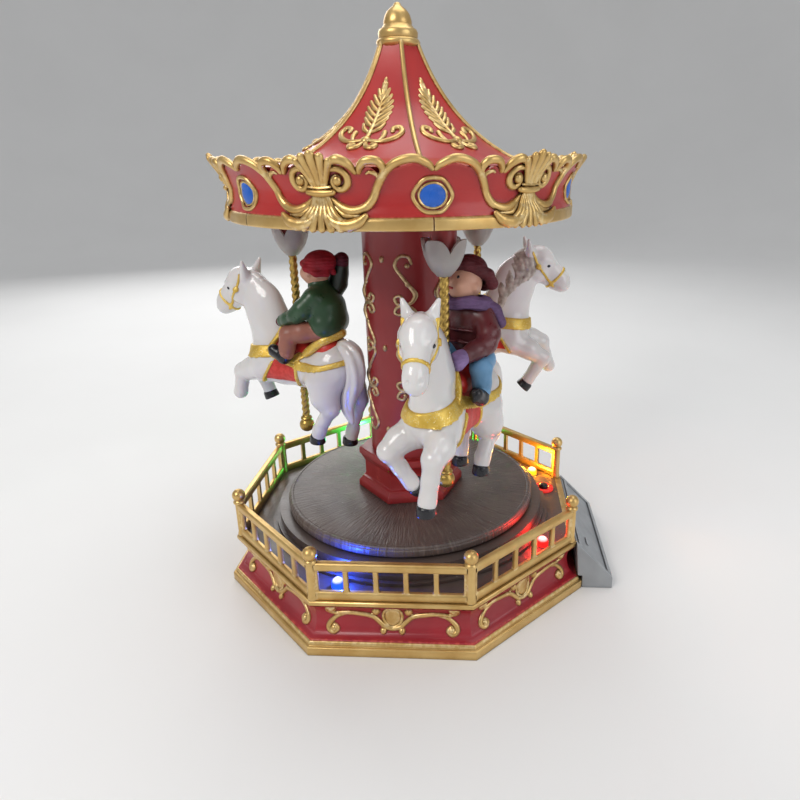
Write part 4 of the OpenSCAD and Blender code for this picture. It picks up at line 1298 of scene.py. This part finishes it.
HEAD_PIVOT = 19.0
STRETCHED = Casting(23, ((26.5, 7.2, -7.0), (28.0, 5.7, -20.8)), ((24.0, -9.8, -9.0), (17.4, -5.8, -22.0)),
                    [((28.1, 5.6, -22.9), 0.1, 2), ((15.7, -4.9, -23.4), 0, 50)], (3.5, 5.5))
FOLDED = Casting(0, ((29.4, 4.0, -7.6), (33.2, 4.2, -18.8)), ((28.0, -6.0, -12.2), (21.9, -6.0, -21.9)),
                 [((20.4, -6.0, -23.8), 0, 44)])
TUCKED = Casting(0, ((27.2, 4.0, -7.2), (29.8, 4.0, -16.6)), ((26.0, -6.4, -11.6), (23.6, -6.6, -18.0)),
                 [((22.9, -6.6, -20.0), 0, 24)])


def to_horse(i):
    x, y = POLE_XY[i - 1]
    turn = HORSE_HEADING[i - 1] - 90
    shift, a = HORSE_SHIFT[i - 1], math.radians(turn)
    return turned(turn, (x - shift * math.sin(a), y + shift * math.cos(a), SADDLE_Z + HORSE_RISE[i - 1]))


def hide_body(cast, step=HORSE_STEP):
    """Trunk, neck, head and legs of the prancing horse as one smooth skin."""
    hide = Blob(HORSE_LOW, HORSE_HIGH, step)
    hide.chain([(13.8, 0, -0.6), (7, 0, -2.2), (-3, 0, -2.4), (-14, 0, -0.6)], [8.5, 8.3, 8.0, 8.6], 3.0,
               (1, 1.02, 1))
    hide.ball((-17.2, 0, 0.6), (8.6, 8.6, 9.0), 4.0)
    for side in (-1, 1):
        hide.ball((-14.5, 4.2 * side, -3.6), (8.0, 5.0, 8.4), 3.0)
        hide.ball((14.2, 4.2 * side, -2.0), (6.0, 4.6, 7.0), 3.0)
    head = cast.head
    hide.chain([(13.2, 0, 3.0), (13.0, 0, 12.0), (16.6, 0, 21.5), head(21.6, 0, 28.6)],
               [8.8, 8.5, 7.6, 5.8], 3.5, (1, 1.62, 1))
    hide.ball(head(26.2, 0, 29.2), (5.8, 4.7, 6.2), 2.5)
    hide.limb(head(27.6, 0, 29.0), 4.7, head(35.3, 0, 21.8), 3.8, 2.5, (1, 1.12, 1))
    hide.limb(head(25.5, 0, 25.0), 3.8, head(33.0, 0, 19.3), 2.8, 2.0, (1, 1.2, 1))
    hide.ball(head(36.4, 0, 19.2), (3.7, 3.5, 3.9), 1.6)
    for side in (-1, 1):
        hide.ball(head(25.4, 3.2 * side, 24.8), (3.5, 1.9, 3.4), 1.6)
        hide.limb(head(31.2, 3.2 * side, 29.0), 1.0, head(27.6, 3.9 * side, 29.8), 1.3, 1.2)
        hide.limb(head(21.8, 3.0 * side, 32.4), 2.5, head(20.6, 5.2 * side, 38.3), 0.7, 1.2, (1.1, 1, 1))
        hide.ball(head(23.6, 4.8 * side, 35.3), (1.2, 1.3, 2.7), 0.7, cut=True)
        hide.ball(head(39.5, 1.95 * side, 20.3), (0.95, 0.75, 0.8), 0.5, cut=True)
    hide.limb(head(39.6, -2.7, 17.2), 0.28, head(39.6, 2.7, 17.2), 0.28, 0.4, cut=True)
    hide.limb(head(23.6, -2.0, 38.2), 0.6, head(23.6, 2.0, 38.2), 0.6, 0.6, cut=True)
    knee, fetlock = (np.array(p) for p in cast.left)
    hide.chain([(16, 4.6, -4), knee - (4.6, 0.2, -1.6), knee], [5.4, 4.2, 3.5], 2.6)
    shin = knee + (fetlock - knee) * 0.5
    hide.chain([knee, shin, fetlock], [3.4, 2.6, 3.0], 1.4)
    knee, fetlock = (np.array(p) for p in cast.right)
    hide.chain([(15, -5.4, -5), (knee + (15, -5.4, -5)) / 2 + (0.4, -0.3, 0.6), knee], [5.2, 4.1, 3.4], 2.6)
    shin = knee + (fetlock - knee) * 0.5
    hide.chain([knee, shin, fetlock], [3.2, 2.5, 2.8], 1.4)
    lift = cast.hind_lift[0]
    hide.chain([(-13.6, 5.0, -6), (-14.8, 6.0, -11.8 + 0.2 * lift), (-17.2, 6.3, -16.0 + 0.4 * lift)],
               [6.8, 5.2, 3.7], 3.0)
    hide.chain([(-17.0, 6.3, -16.6 + 0.4 * lift), (-13.4, 6.3, -22.0 + 0.7 * lift),
                (-11.0, 6.2, -26.2 + lift), (-10.3, 6.2, -28.6 + lift)], [3.3, 2.5, 2.7, 2.75], 1.4)
    lift = cast.hind_lift[1]
    hide.chain([(-17.6, -4.8, -6), (-20.0, -5.6, -11.2 + 0.2 * lift), (-22.6, -6.0, -15.6 + 0.4 * lift)],
               [6.4, 4.8, 3.5], 3.0)
    hide.chain([(-22.7, -6.0, -16.2 + 0.4 * lift), (-20.4, -5.9, -23.0 + 0.7 * lift),
                (-18.5, -5.7, -29.4 + lift), (-17.8, -5.6, -32.6 + lift)], [3.1, 2.4, 2.6, 2.7], 1.4)
    return hide


TAIL = [(-17.5, 0, 6.0), (-21.4, 0.6, 7.4), (-25.4, 1.6, 5.4), (-27.0, 2.2, 0.4), (-26.2, 2.4, -5.4),
        (-23.6, 2.4, -11.4), (-22.4, 2.5, -16.6), (-24.2, 2.7, -22.6)]
TAIL_R = [2.4, 3.6, 4.1, 4.0, 3.7, 3.3, 2.6, 0.8]


def tail_skin():
    """The tail: a thick core with wavy locks laid round it."""
    skin = Blob((-32.5, -5, -26), (-12, 9, 13), 0.45)
    path = smooth_path(TAIL, 5)
    radii = np.interp(np.linspace(0, 1, len(path)), np.linspace(0, 1, len(TAIL_R)), TAIL_R)
    skin.chain(path, radii * 0.8, 1.0, (1, 1.2, 1))
    tangent = np.gradient(path, axis=0)
    tangent /= np.linalg.norm(tangent, axis=1)[:, None]
    side = np.cross(tangent, (0, 1.0, 0))
    for k in range(8):
        turn = TAU * k / 8 + 0.5 * np.sin(np.linspace(0, 5.5, len(path)) + k)
        outward = np.cos(turn)[:, None] * side + np.sin(turn)[:, None] * (0, 1, 0)
        lock = path + radii[:, None] * 0.66 * outward
        skin.chain(lock, radii * 0.34, 0.35)
    return skin.mesh()


def mane_skin(cast):
    """Flat locks that fall from the crest down the right side of the neck."""
    skin = Blob((0, -13, 4), (32, 8, 40), 0.45)
    crest = smooth_path([(6.4, 0, 17.8), (8.2, 0, 22.6), (11.6, 0, 27.6), cast.head(16.2, 0, 31.8),
                         cast.head(19.8, 0, 34.0)], 3)
    for k, (x, y, z) in enumerate(crest):
        sway = 0.7 * math.sin(1.9 * k)
        lock = smooth_path([(x + 0.6, y + 0.6, z - 0.6), (x + 1.6, y - 2.6, z - 1.6),
                            (x + 2.7 + sway, y - 4.8, z - 5.0), (x + 2.6 - sway, y - 5.4, z - 9.0),
                            (x + 1.6 + sway, y - 5.2, z - 11.4)], 3)
        skin.chain(lock, np.linspace(1.45, 0.55, len(lock)), 0.45)
    return skin.mesh()


def hoof(centre, forward, lean):
    """A black hoof: flared wall, bevelled sole, tipped by an angle in degrees."""
    profile = round_profile([(0.3, 0), (2.85, 0), (3.05, 0.5), (2.8, 3.0), (2.3, 3.7), (0.3, 3.7)], 0.3, 3)
    made = lathe(profile, 28)
    c, s = math.cos(math.radians(lean)), math.sin(math.radians(lean))

    def place(v):
        v = v * (1.08, 1, 1) + (0.25, 0, -1.8)
        x = v[:, 0] * c + v[:, 2] * s
        z = -v[:, 0] * s + v[:, 2] * c
        return np.stack([x + centre[0] + forward, v[:, 1] + centre[1], z + centre[2]], 1)
    return Shape().add_shape(made, place)


def segment_gap(x, z, a, b):
    """Distance in the side view from a segment."""
    d = np.array(b, float) - a
    t = np.clip(((x - a[0]) * d[0] + (z - a[1]) * d[1]) / (d @ d), 0, 1)
    return np.sqrt((x - a[0] - t * d[0]) ** 2 + (z - a[1] - t * d[1]) ** 2)


BELT = [(-26, 3.5, 1.2), (-16, 0.9, 1.15), (-6, -0.1, 1.8), (0, 1.6, 2.0), (8, 4.4, 2.3), (15, 3.7, 2.3),
        (24, 2.4, 2.25)]


def belt_level(x):
    return np.interp(x, [b[0] for b in BELT], [b[1] for b in BELT])


def worn(hide, grow, region, cast=None):
    """What lies on the hide inside a region, standing proud of it by grow."""
    x = hide.axes[0][:, None, None]
    y = hide.axes[1][None, :, None]
    z = hide.axes[2][None, None, :]
    if cast:
        x, y = cast.unturned(x, y)
    layer = Blob(HORSE_LOW, HORSE_HIGH, hide.step)
    layer.field = np.maximum(hide.field - grow, region(x, y, z)).astype(np.float32)
    hollow = hide.field + 0.9
    layer.field = np.maximum(layer.field, -hollow)
    return layer.mesh()


def trunk(x, z):
    """Keeps the harness off the neck and the legs."""
    return np.maximum(np.maximum(-26.0 - x, x - 26.0), np.maximum(-10.5 - z, z - 15.0))


def belt(x, y, z):
    width = np.interp(x, [b[0] for b in BELT], [b[2] for b in BELT])
    return np.maximum(abs(z - belt_level(x)) - width, trunk(x, z) + 0 * y)


def front_edge(x, z):
    return (x - (12.6 - 0.6 * z)) * 0.86


def rear_edge(x, z):
    return (-0.4 - 0.66 * x - z) * 0.83


def saddle(x, y, z):
    return np.maximum(np.maximum(belt_level(x) - z, front_edge(x, z)),
                      np.maximum(rear_edge(x, z), trunk(x, z) + 0 * y))


def saddle_trim(x, y, z):
    front = np.maximum(abs(front_edge(x, z)) - 0.9, belt_level(x) - z)
    rear = np.maximum(abs(rear_edge(x, z) + 1.0) - 1.5, belt_level(x) - z)
    on_side = np.maximum(trunk(x, z), -21.5 - x)
    return np.maximum(np.minimum(front, rear), on_side + 0 * y)


def flap(x, y, z):
    front = 0.85 * x + 0.53 * z - 6.6
    return np.maximum(np.maximum(front, -3.4 - x), np.maximum(z - belt_level(x), -7.0 - z) + 0 * y)


def flap_trim(x, y, z):
    front = abs(0.85 * x + 0.53 * z - 6.6) - 0.6
    rear = abs(x + 3.6) - 0.65
    return np.maximum(np.minimum(np.maximum(front, -3.8 - x), rear),
                      np.maximum(z - 1.0, -8.6 - z) + 0 * y)


def noseband(x, y, z):
    along = abs((x - 33.6) * 0.74 - (z - 21.9) * 0.67) - 0.62
    cheek = np.minimum(segment_gap(x, z, (32.2, 18.2), (25.2, 27.0)),
                       segment_gap(x, z, (25.2, 27.0), (22.6, 33.0)))
    return np.maximum(np.minimum(along, cheek - 0.55), np.maximum(21.0 - x, 14.5 - z) + 0 * y)


def rosette(x, y, z):
    return np.sqrt((x - 25.0) ** 2 + (z - 27.2) ** 2) - 1.25 + 0 * y


def saddle_seat():
    """The padded seat: red, with a raised gold cantle behind the rider and a low pommel before them."""
    seat, rim = Blob(HORSE_LOW, HORSE_HIGH, HORSE_STEP), Blob(HORSE_LOW, HORSE_HIGH, HORSE_STEP)
    seat.chain([(-15.0, 0, 6.4), (-8.0, 0, 5.4), (0.5, 0, 6.6)], [5.6, 4.6, 4.8], 3.0, (1, 0.8, 1))
    for side in (-1, 1):
        cantle = smooth_path([(-7.6, 6.9 * side, 5.0), (-12.0, 6.4 * side, 8.4), (-16.6, 4.8 * side, 11.4),
                              (-19.6, 0, 12.8)], 3)
        rim.chain(cantle, np.linspace(1.4, 1.7, len(cantle)), 1.2)
        pommel = smooth_path([(9.4, 6.9 * side, 5.6), (6.8, 5.7 * side, 9.2), (4.0, 3.6 * side, 12.2)], 3)
        rim.chain(pommel, np.linspace(1.0, 0.8, len(pommel)), 0.8)
    return seat.mesh(), rim.mesh()


def build_cast(cast):
    """The six shapes of one casting: hide, mane, tack, cloth, hooves and eyes."""
    hide = hide_body(cast)
    tack = Shape()
    for grow, region, on in ((0.55, belt, None), (0.85, saddle_trim, None), (0.8, flap_trim, None),
                             (0.42, noseband, cast), (0.8, rosette, cast)):
        tack.add_shape(worn(hide, grow, region, on))
    seat, rim = saddle_seat()
    tack.add_shape(rim)
    cloth = Shape().add_shape(worn(hide, 0.5, saddle)).add_shape(worn(hide, 0.4, flap)).add_shape(seat)
    hooves = Shape()
    for spec in cast.hooves:
        hooves.add_shape(hoof(*spec))
    eyes = Blob((24, -9, 24), (36, 13, 32), 0.25)
    for side in (-1, 1):
        eyes.ball(cast.head(29.4, 4.15 * side, 27.3), (0.95, 0.8, 0.75), 0.2)
    return hide.mesh(2), mane_skin(cast), tack, cloth, hooves, eyes.mesh()


def build_horses():
    tail = tail_skin()
    for i, cast in ((1, STRETCHED), (2, FOLDED), (3, TUCKED)):
        body, place = f"ride_{i}", to_horse(i)
        skin, mane, tack, cloth, hooves, eyes = build_cast(cast)
        show = lambda name, shape, slot, material, replaces=(): piece(
            f"{name}_{i}", Shape().add_shape(shape, place), body, slot, material, replaces=replaces, angle=50)
        show("horse_hide", skin, "horse_white", WHITE, [f"horse_{i}"])
        show("horse_tail", tail, "horse_white", WHITE)
        show("horse_mane", mane, "horse_white", STREAKS if i == 2 else WHITE)
        show("horse_tack", tack, "gold_plastic", TACK)
        show("saddle_cloth", cloth, "red_plastic", SADDLE_RED)
        show("horse_hooves", hooves, "button_black", BLACK)
        show("horse_eyes", eyes, "button_black", BLACK)


# ---------------------------------------------------------------- riders

RIDER_LOW, RIDER_HIGH, RIDER_STEP = (-26, -16, -4), (14, 16, 50), 0.45


def cloth_blob():
    return Blob(RIDER_LOW, RIDER_HIGH, RIDER_STEP)


def folds(blob, points, r=0.5, soft=0.8):
    """Moulded creases."""
    for a, b in points:
        blob.limb(a, r, b, r * 0.6, soft)


def trousers(blob):
    for s in (-1, 1):
        blob.chain([(-12.6, 4.2 * s, 14.2), (-7.4, 7.4 * s, 13.8), (-2.4, 9.0 * s, 12.8)],
                   [4.4, 4.0, 3.6], 1.5)
        blob.chain([(-2.2, 9.2 * s, 12.4), (-1.6, 9.8 * s, 8.4), (-1.2, 10.0 * s, 5.6)], [3.4, 3.0, 2.9], 1.2)
        folds(blob, [((-6.0, 11.0 * s, 14.8), (-3.0, 12.0 * s, 10.6)),
                     ((-2.6, 12.6 * s, 13.6), (-0.2, 12.8 * s, 8.6))])
    return blob


def boots(blob):
    for s in (-1, 1):
        blob.limb((-1.0, 10.0 * s, 5.4), 2.6, (-0.2, 10.2 * s, 3.6), 2.5, 1.0)
        blob.limb((0.4, 10.2 * s, 3.8), 2.3, (4.4, 10.6 * s, 6.4), 2.2, 1.4)
        blob.limb((1.0, 10.2 * s, 2.2), 1.1, (5.6, 10.6 * s, 5.0), 1.2, 0.6)
    return blob


def doll_head(blob, centre, gaze, yaw=0.0):
    """A round doll's head with a button nose, cheeks and small ears; gaze tips it up, yaw turns it left."""
    c = np.array(centre, float)
    flat = np.array([math.cos(yaw), math.sin(yaw), 0])
    ahead = flat * math.cos(gaze) + np.array([0, 0, math.sin(gaze)])
    above = np.array([0, 0, math.cos(gaze)]) - flat * math.sin(gaze)
    beside = np.array([-math.sin(yaw), math.cos(yaw), 0])
    blob.ball(c, (5.3, 5.2, 5.7), 1.0)
    blob.ball(c + ahead * 1.2 - above * 1.9, 4.3, 1.5)
    blob.ball(c + ahead * 5.5 - above * 0.5, 0.9, 0.8)
    for s in (-1, 1):
        blob.ball(c + ahead * 3.6 - above * 1.6 + beside * 2.4 * s, 1.7, 1.4)
        blob.ball(c - above * 0.8 + beside * 5.2 * s, (1.0, 1.0, 1.3), 0.7)
    blob.limb(c - (0.4, 0, 4.0), 2.8, c - (1.0, 0, 7.0), 3.0, 1.5)
    return c, ahead, above, beside


def face_marks(centre, ahead, above, beside):
    eyes, mouth = Blob(RIDER_LOW, RIDER_HIGH, 0.3), Blob(RIDER_LOW, RIDER_HIGH, 0.3)
    for s in (-1, 1):
        eyes.ball(centre + ahead * 4.75 + above * 1.0 + beside * 1.9 * s, 0.62, 0.2)
    lip = centre + ahead * 5.35 - above * 2.7
    mouth.limb(lip - beside, 0.45, lip + beside, 0.45, 0.3)
    return eyes.mesh(0), mouth.mesh(0)


def coat_trunk(blob, hem):
    blob.chain([(-14.4, 0, 18.2), (-13.8, 0, 22.6), (-12.0, 0, 27.4)], [7.4, 6.6, 5.0], 3.0, (1.05, 0.9, 1))
    blob.limb((-12.2, -5.0, 27.0), 3.3, (-12.2, 5.0, 27.0), 3.3, 2.2)
    blob.limb((-15.0, -4.6, 16.2), 3.9 * hem, (-15.0, 4.6, 16.2), 3.9 * hem, 2.5)


def rider_green_coat():
    """Raised right arm in a sleeve painted near-black as shade, knitted cap, one hand on the reins; the
    mittens are a darker red as painted shade.
    """
    coat = cloth_blob()
    coat_trunk(coat, 1.1)
    coat.chain([(-12, 5.6, 26.8), (-9.0, 8.4, 22.8), (-6.4, 8.8, 20.4)], [3.6, 3.4, 3.1], 1.6)
    coat.chain([(-6.4, 8.8, 20.4), (-2.0, 7.8, 18.6), (1.6, 6.6, 17.2)], [3.0, 2.7, 2.6], 1.4)
    coat.limb((-11.0, 0, 30.6), 4.0, (-11.0, 0, 31.6), 3.9, 1.0)
    folds(coat, [((-10.6, 8.0, 19.2), (-16.0, 7.6, 15.0)), ((-7.6, 10.6, 22.8), (-5.0, 10.8, 18.6)),
                 ((-14.4, 7.2, 22.6), (-19.0, 5.2, 17.4)), ((-1.8, 9.9, 19.4), (-0.4, 9.4, 16.8))])
    sleeve = cloth_blob()
    sleeve.chain([(-13.2, -5.2, 27.0), (-15.2, -6.6, 30.6), (-16.4, -6.4, 34.2), (-17.6, -6.0, 37.4)],
                 [3.9, 3.5, 3.1, 2.9], 1.6)
    folds(sleeve, [((-12.6, -8.6, 30.0), (-16.6, -9.4, 33.0)), ((-18.2, -6.4, 30.0), (-19.2, -6.0, 34.0))])
    head = cloth_blob()
    marks = face_marks(*doll_head(head, (-10.6, 0, 36.6), 0.05))
    cap = cloth_blob()
    cap.ball((-12.0, 0, 39.0), (5.8, 6.0, 4.7), 1.0)
    cap.ball((-14.0, 0, 39.8), (4.2, 4.6, 3.4), 2.0)
    cap.chain([(-6.5, -2.4, 38.8), (-6.0, 0, 39.0), (-6.5, 2.4, 38.8)], [1.1, 1.2, 1.1], 1.2)
    for s in (-1, 1):
        cap.chain([(-6.5, 2.4 * s, 38.8), (-10.0, 5.4 * s, 37.6), (-14.0, 5.2 * s, 36.0),
                   (-16.8, 2.0 * s, 35.4)], [1.1, 1.25, 1.25, 1.1], 1.0)
    mitts = cloth_blob()
    mitts.limb((-17.9, -5.9, 38.2), 2.7, (-18.4, -5.4, 40.0), 2.7, 1.2)
    mitts.limb((-16.8, -4.4, 38.6), 1.2, (-16.0, -3.8, 40.4), 1.1, 0.8)
    mitts.limb((2.4, 6.4, 16.9), 2.2, (3.8, 5.8, 16.4), 1.9, 1.0)
    return [("coat", coat, COAT_GREEN), ("sleeve", sleeve, COAT_GREEN_SHADED), ("head", head, SKIN),
            ("cap", cap, KNIT_RED), ("mitts", mitts, MITTEN_RED_SHADED),
            ("trousers", trousers(cloth_blob()), TROUSER_TAN), ("boots", boots(cloth_blob()), BLACK)], marks


def rider_maroon_coat():
    """Puffed jacket, scarf with a tail over the left shoulder, wide hat, both hands forward."""
    coat = cloth_blob()
    coat_trunk(coat, 0.95)
    for s in (-1, 1):
        coat.chain([(-12, 5.6 * s, 26.8), (-8.6, 9.0 * s, 22.4), (-5.8, 9.4 * s, 19.8)], [3.9, 3.7, 3.4], 1.2)
        coat.chain([(-5.8, 9.4 * s, 19.6), (-1.2, 7.6 * s, 18.6), (1.6, 6.2 * s, 17.6)], [3.2, 3.0, 2.7], 1.2)
        folds(coat, [((-12.0, 9.4 * s, 24.2), (-7.2, 12.4 * s, 24.6)),
                     ((-10.6, 11.6 * s, 21.2), (-5.4, 12.8 * s, 21.6)),
                     ((-4.6, 12.2 * s, 19.8), (-3.4, 10.4 * s, 16.4)),
                     ((-1.0, 10.2 * s, 19.6), (-0.2, 8.8 * s, 16.2))], 0.6)
    for z in (19.4, 23.4):
        coat.chain([(-6.2, -4.0, z - 0.3), (-5.6, 0, z), (-6.2, 4.0, z - 0.3)], [0.4, 0.5, 0.4], 1.2)
    head = cloth_blob()
    marks = face_marks(*doll_head(head, (-10.4, 0, 37.8), 0.30, -0.5))
    hat = cloth_blob()
    hat.ball((-13.0, 0, 41.6), (5.6, 6.0, 4.9), 1.0)
    hat.chain([(-10.0, -5.0, 42.4), (-8.2, -2.0, 43.8), (-8.2, 1.6, 44.0), (-9.4, 4.4, 43.0)],
              [1.5, 1.6, 1.6, 1.5], 1.5)
    for s in (-1, 1):
        hat.chain([(-9.6, 4.6 * s, 42.8), (-12.8, 6.8 * s, 40.4), (-14.8, 7.2 * s, 37.2),
                   (-17.4, 3.4 * s, 36.0), (-18.2, 0, 35.6)], [1.5, 1.7, 1.8, 1.7, 1.6], 1.2)
    scarf = cloth_blob()
    ring = [(-11.4 + 5.0 * math.cos(t), 5.5 * math.sin(t), 31.2 + 0.8 * math.cos(t) + 0.4 * math.sin(3 * t))
            for t in np.linspace(0, TAU, 29)]
    scarf.chain(ring, [2.1] * len(ring), 0.6)
    for k in (-1, 0, 1):
        crease = [(x + 1.9 * math.cos(t), y + 2.0 * math.sin(t), z + 1.3 * k)
                  for (x, y, z), t in zip(ring, np.linspace(0, TAU, 29))]
        scarf.chain(crease, [0.32] * len(crease), 0.5)
    scarf.chain([(-14.0, 4.4, 31.2), (-14.8, 8.0, 28.4), (-14.6, 10.4, 24.8)], [2.2, 2.4, 2.0], 1.0)
    mitts = cloth_blob()
    for s in (-1, 1):
        mitts.limb((2.8, 5.6 * s, 17.4), 2.4, (4.8, 4.4 * s, 15.4), 2.4, 1.2)
        mitts.limb((3.4, 3.8 * s, 18.2), 1.2, (4.8, 3.0 * s, 17.6), 1.1, 0.8)
    return [("coat", coat, COAT_MAROON), ("head", head, SKIN), ("cap", hat, KNIT_DARK),
            ("scarf", scarf, KNIT_PURPLE), ("mitts", mitts, MITTEN_LILAC),
            ("trousers", trousers(cloth_blob()), TROUSER_BLUE),
            ("boots", boots(cloth_blob()), BLACK)], marks


def build_riders():
    for number, horse_number, maker, slot in ((1, 1, rider_maroon_coat, "rider_brown"),
                                              (2, 3, rider_green_coat, "rider_green")):
        clothes, (eyes, mouth) = maker()
        place, body = to_horse(horse_number), f"ride_{horse_number}"
        for name, blob, material in clothes:
            stands_for = [f"rider_{number}"] if name == "coat" else []
            piece(f"rider_{name}_{number}", Shape().add_shape(blob.mesh(), place), body, slot, material,
                  replaces=stands_for, angle=50)
        piece(f"rider_eyes_{number}", Shape().add_shape(eyes, place), body, "button_black", BLACK)
        piece(f"rider_mouth_{number}", Shape().add_shape(mouth, place), body, slot, LIP)


build_horses()
build_riders()


# ---------------------------------------------------------------- materials of the CAD nodes that stay

def steel(name, tone, rough=0.3):
    return plastic(name, tone, rough, 0.85, 2200.0, 0.12, metallic=1.0)


SLOT_FINISH = {
    "red_plastic": RED_SHADED, "gold_plastic": GOLD, "deck_plastic": DECK, "grey_plastic": GREY,
    "black_plastic": plastic("cover_black", (0.028, 0.028, 0.030), 0.55, 0.8, 1600.0, 0.3),
    "screw_steel": steel("screw_zinc", (0.55, 0.55, 0.54), 0.35),
    "shaft_steel": steel("drawn_steel", (0.6, 0.6, 0.62)),
    "cell_wrap": plastic("cell_sleeve", (0.25, 0.28, 0.31), 0.3, metallic=0.6),
    "contact_steel": steel("nickel_strip", (0.66, 0.65, 0.60)),
    "comb_steel": steel("comb_ground", (0.62, 0.62, 0.64)),
    "board_laminate": plastic("solder_mask", (0.015, 0.13, 0.05), 0.35),
    "cast_zinc": steel("zinc_casting", (0.46, 0.46, 0.47), 0.5),
    "movement_brass": steel("bright_brass", (0.66, 0.46, 0.17), 0.25),
    "fan_nylon": plastic("nylon", (0.74, 0.71, 0.64), 0.5),
}


def dress_cad_nodes():
    """Gives each CAD node that stays the finish of its slot, which is its imported material's name."""
    for obj in frame["nodes"].values():
        if obj.hide_render:
            continue
        slots = obj.data.materials
        finish = SLOT_FINISH.get(slots[0].name.split(".")[0] if slots and slots[0] else "", GREY)
        if slots:
            for k in range(len(slots)):
                slots[k] = finish
        else:
            slots.append(finish)


dress_cad_nodes()
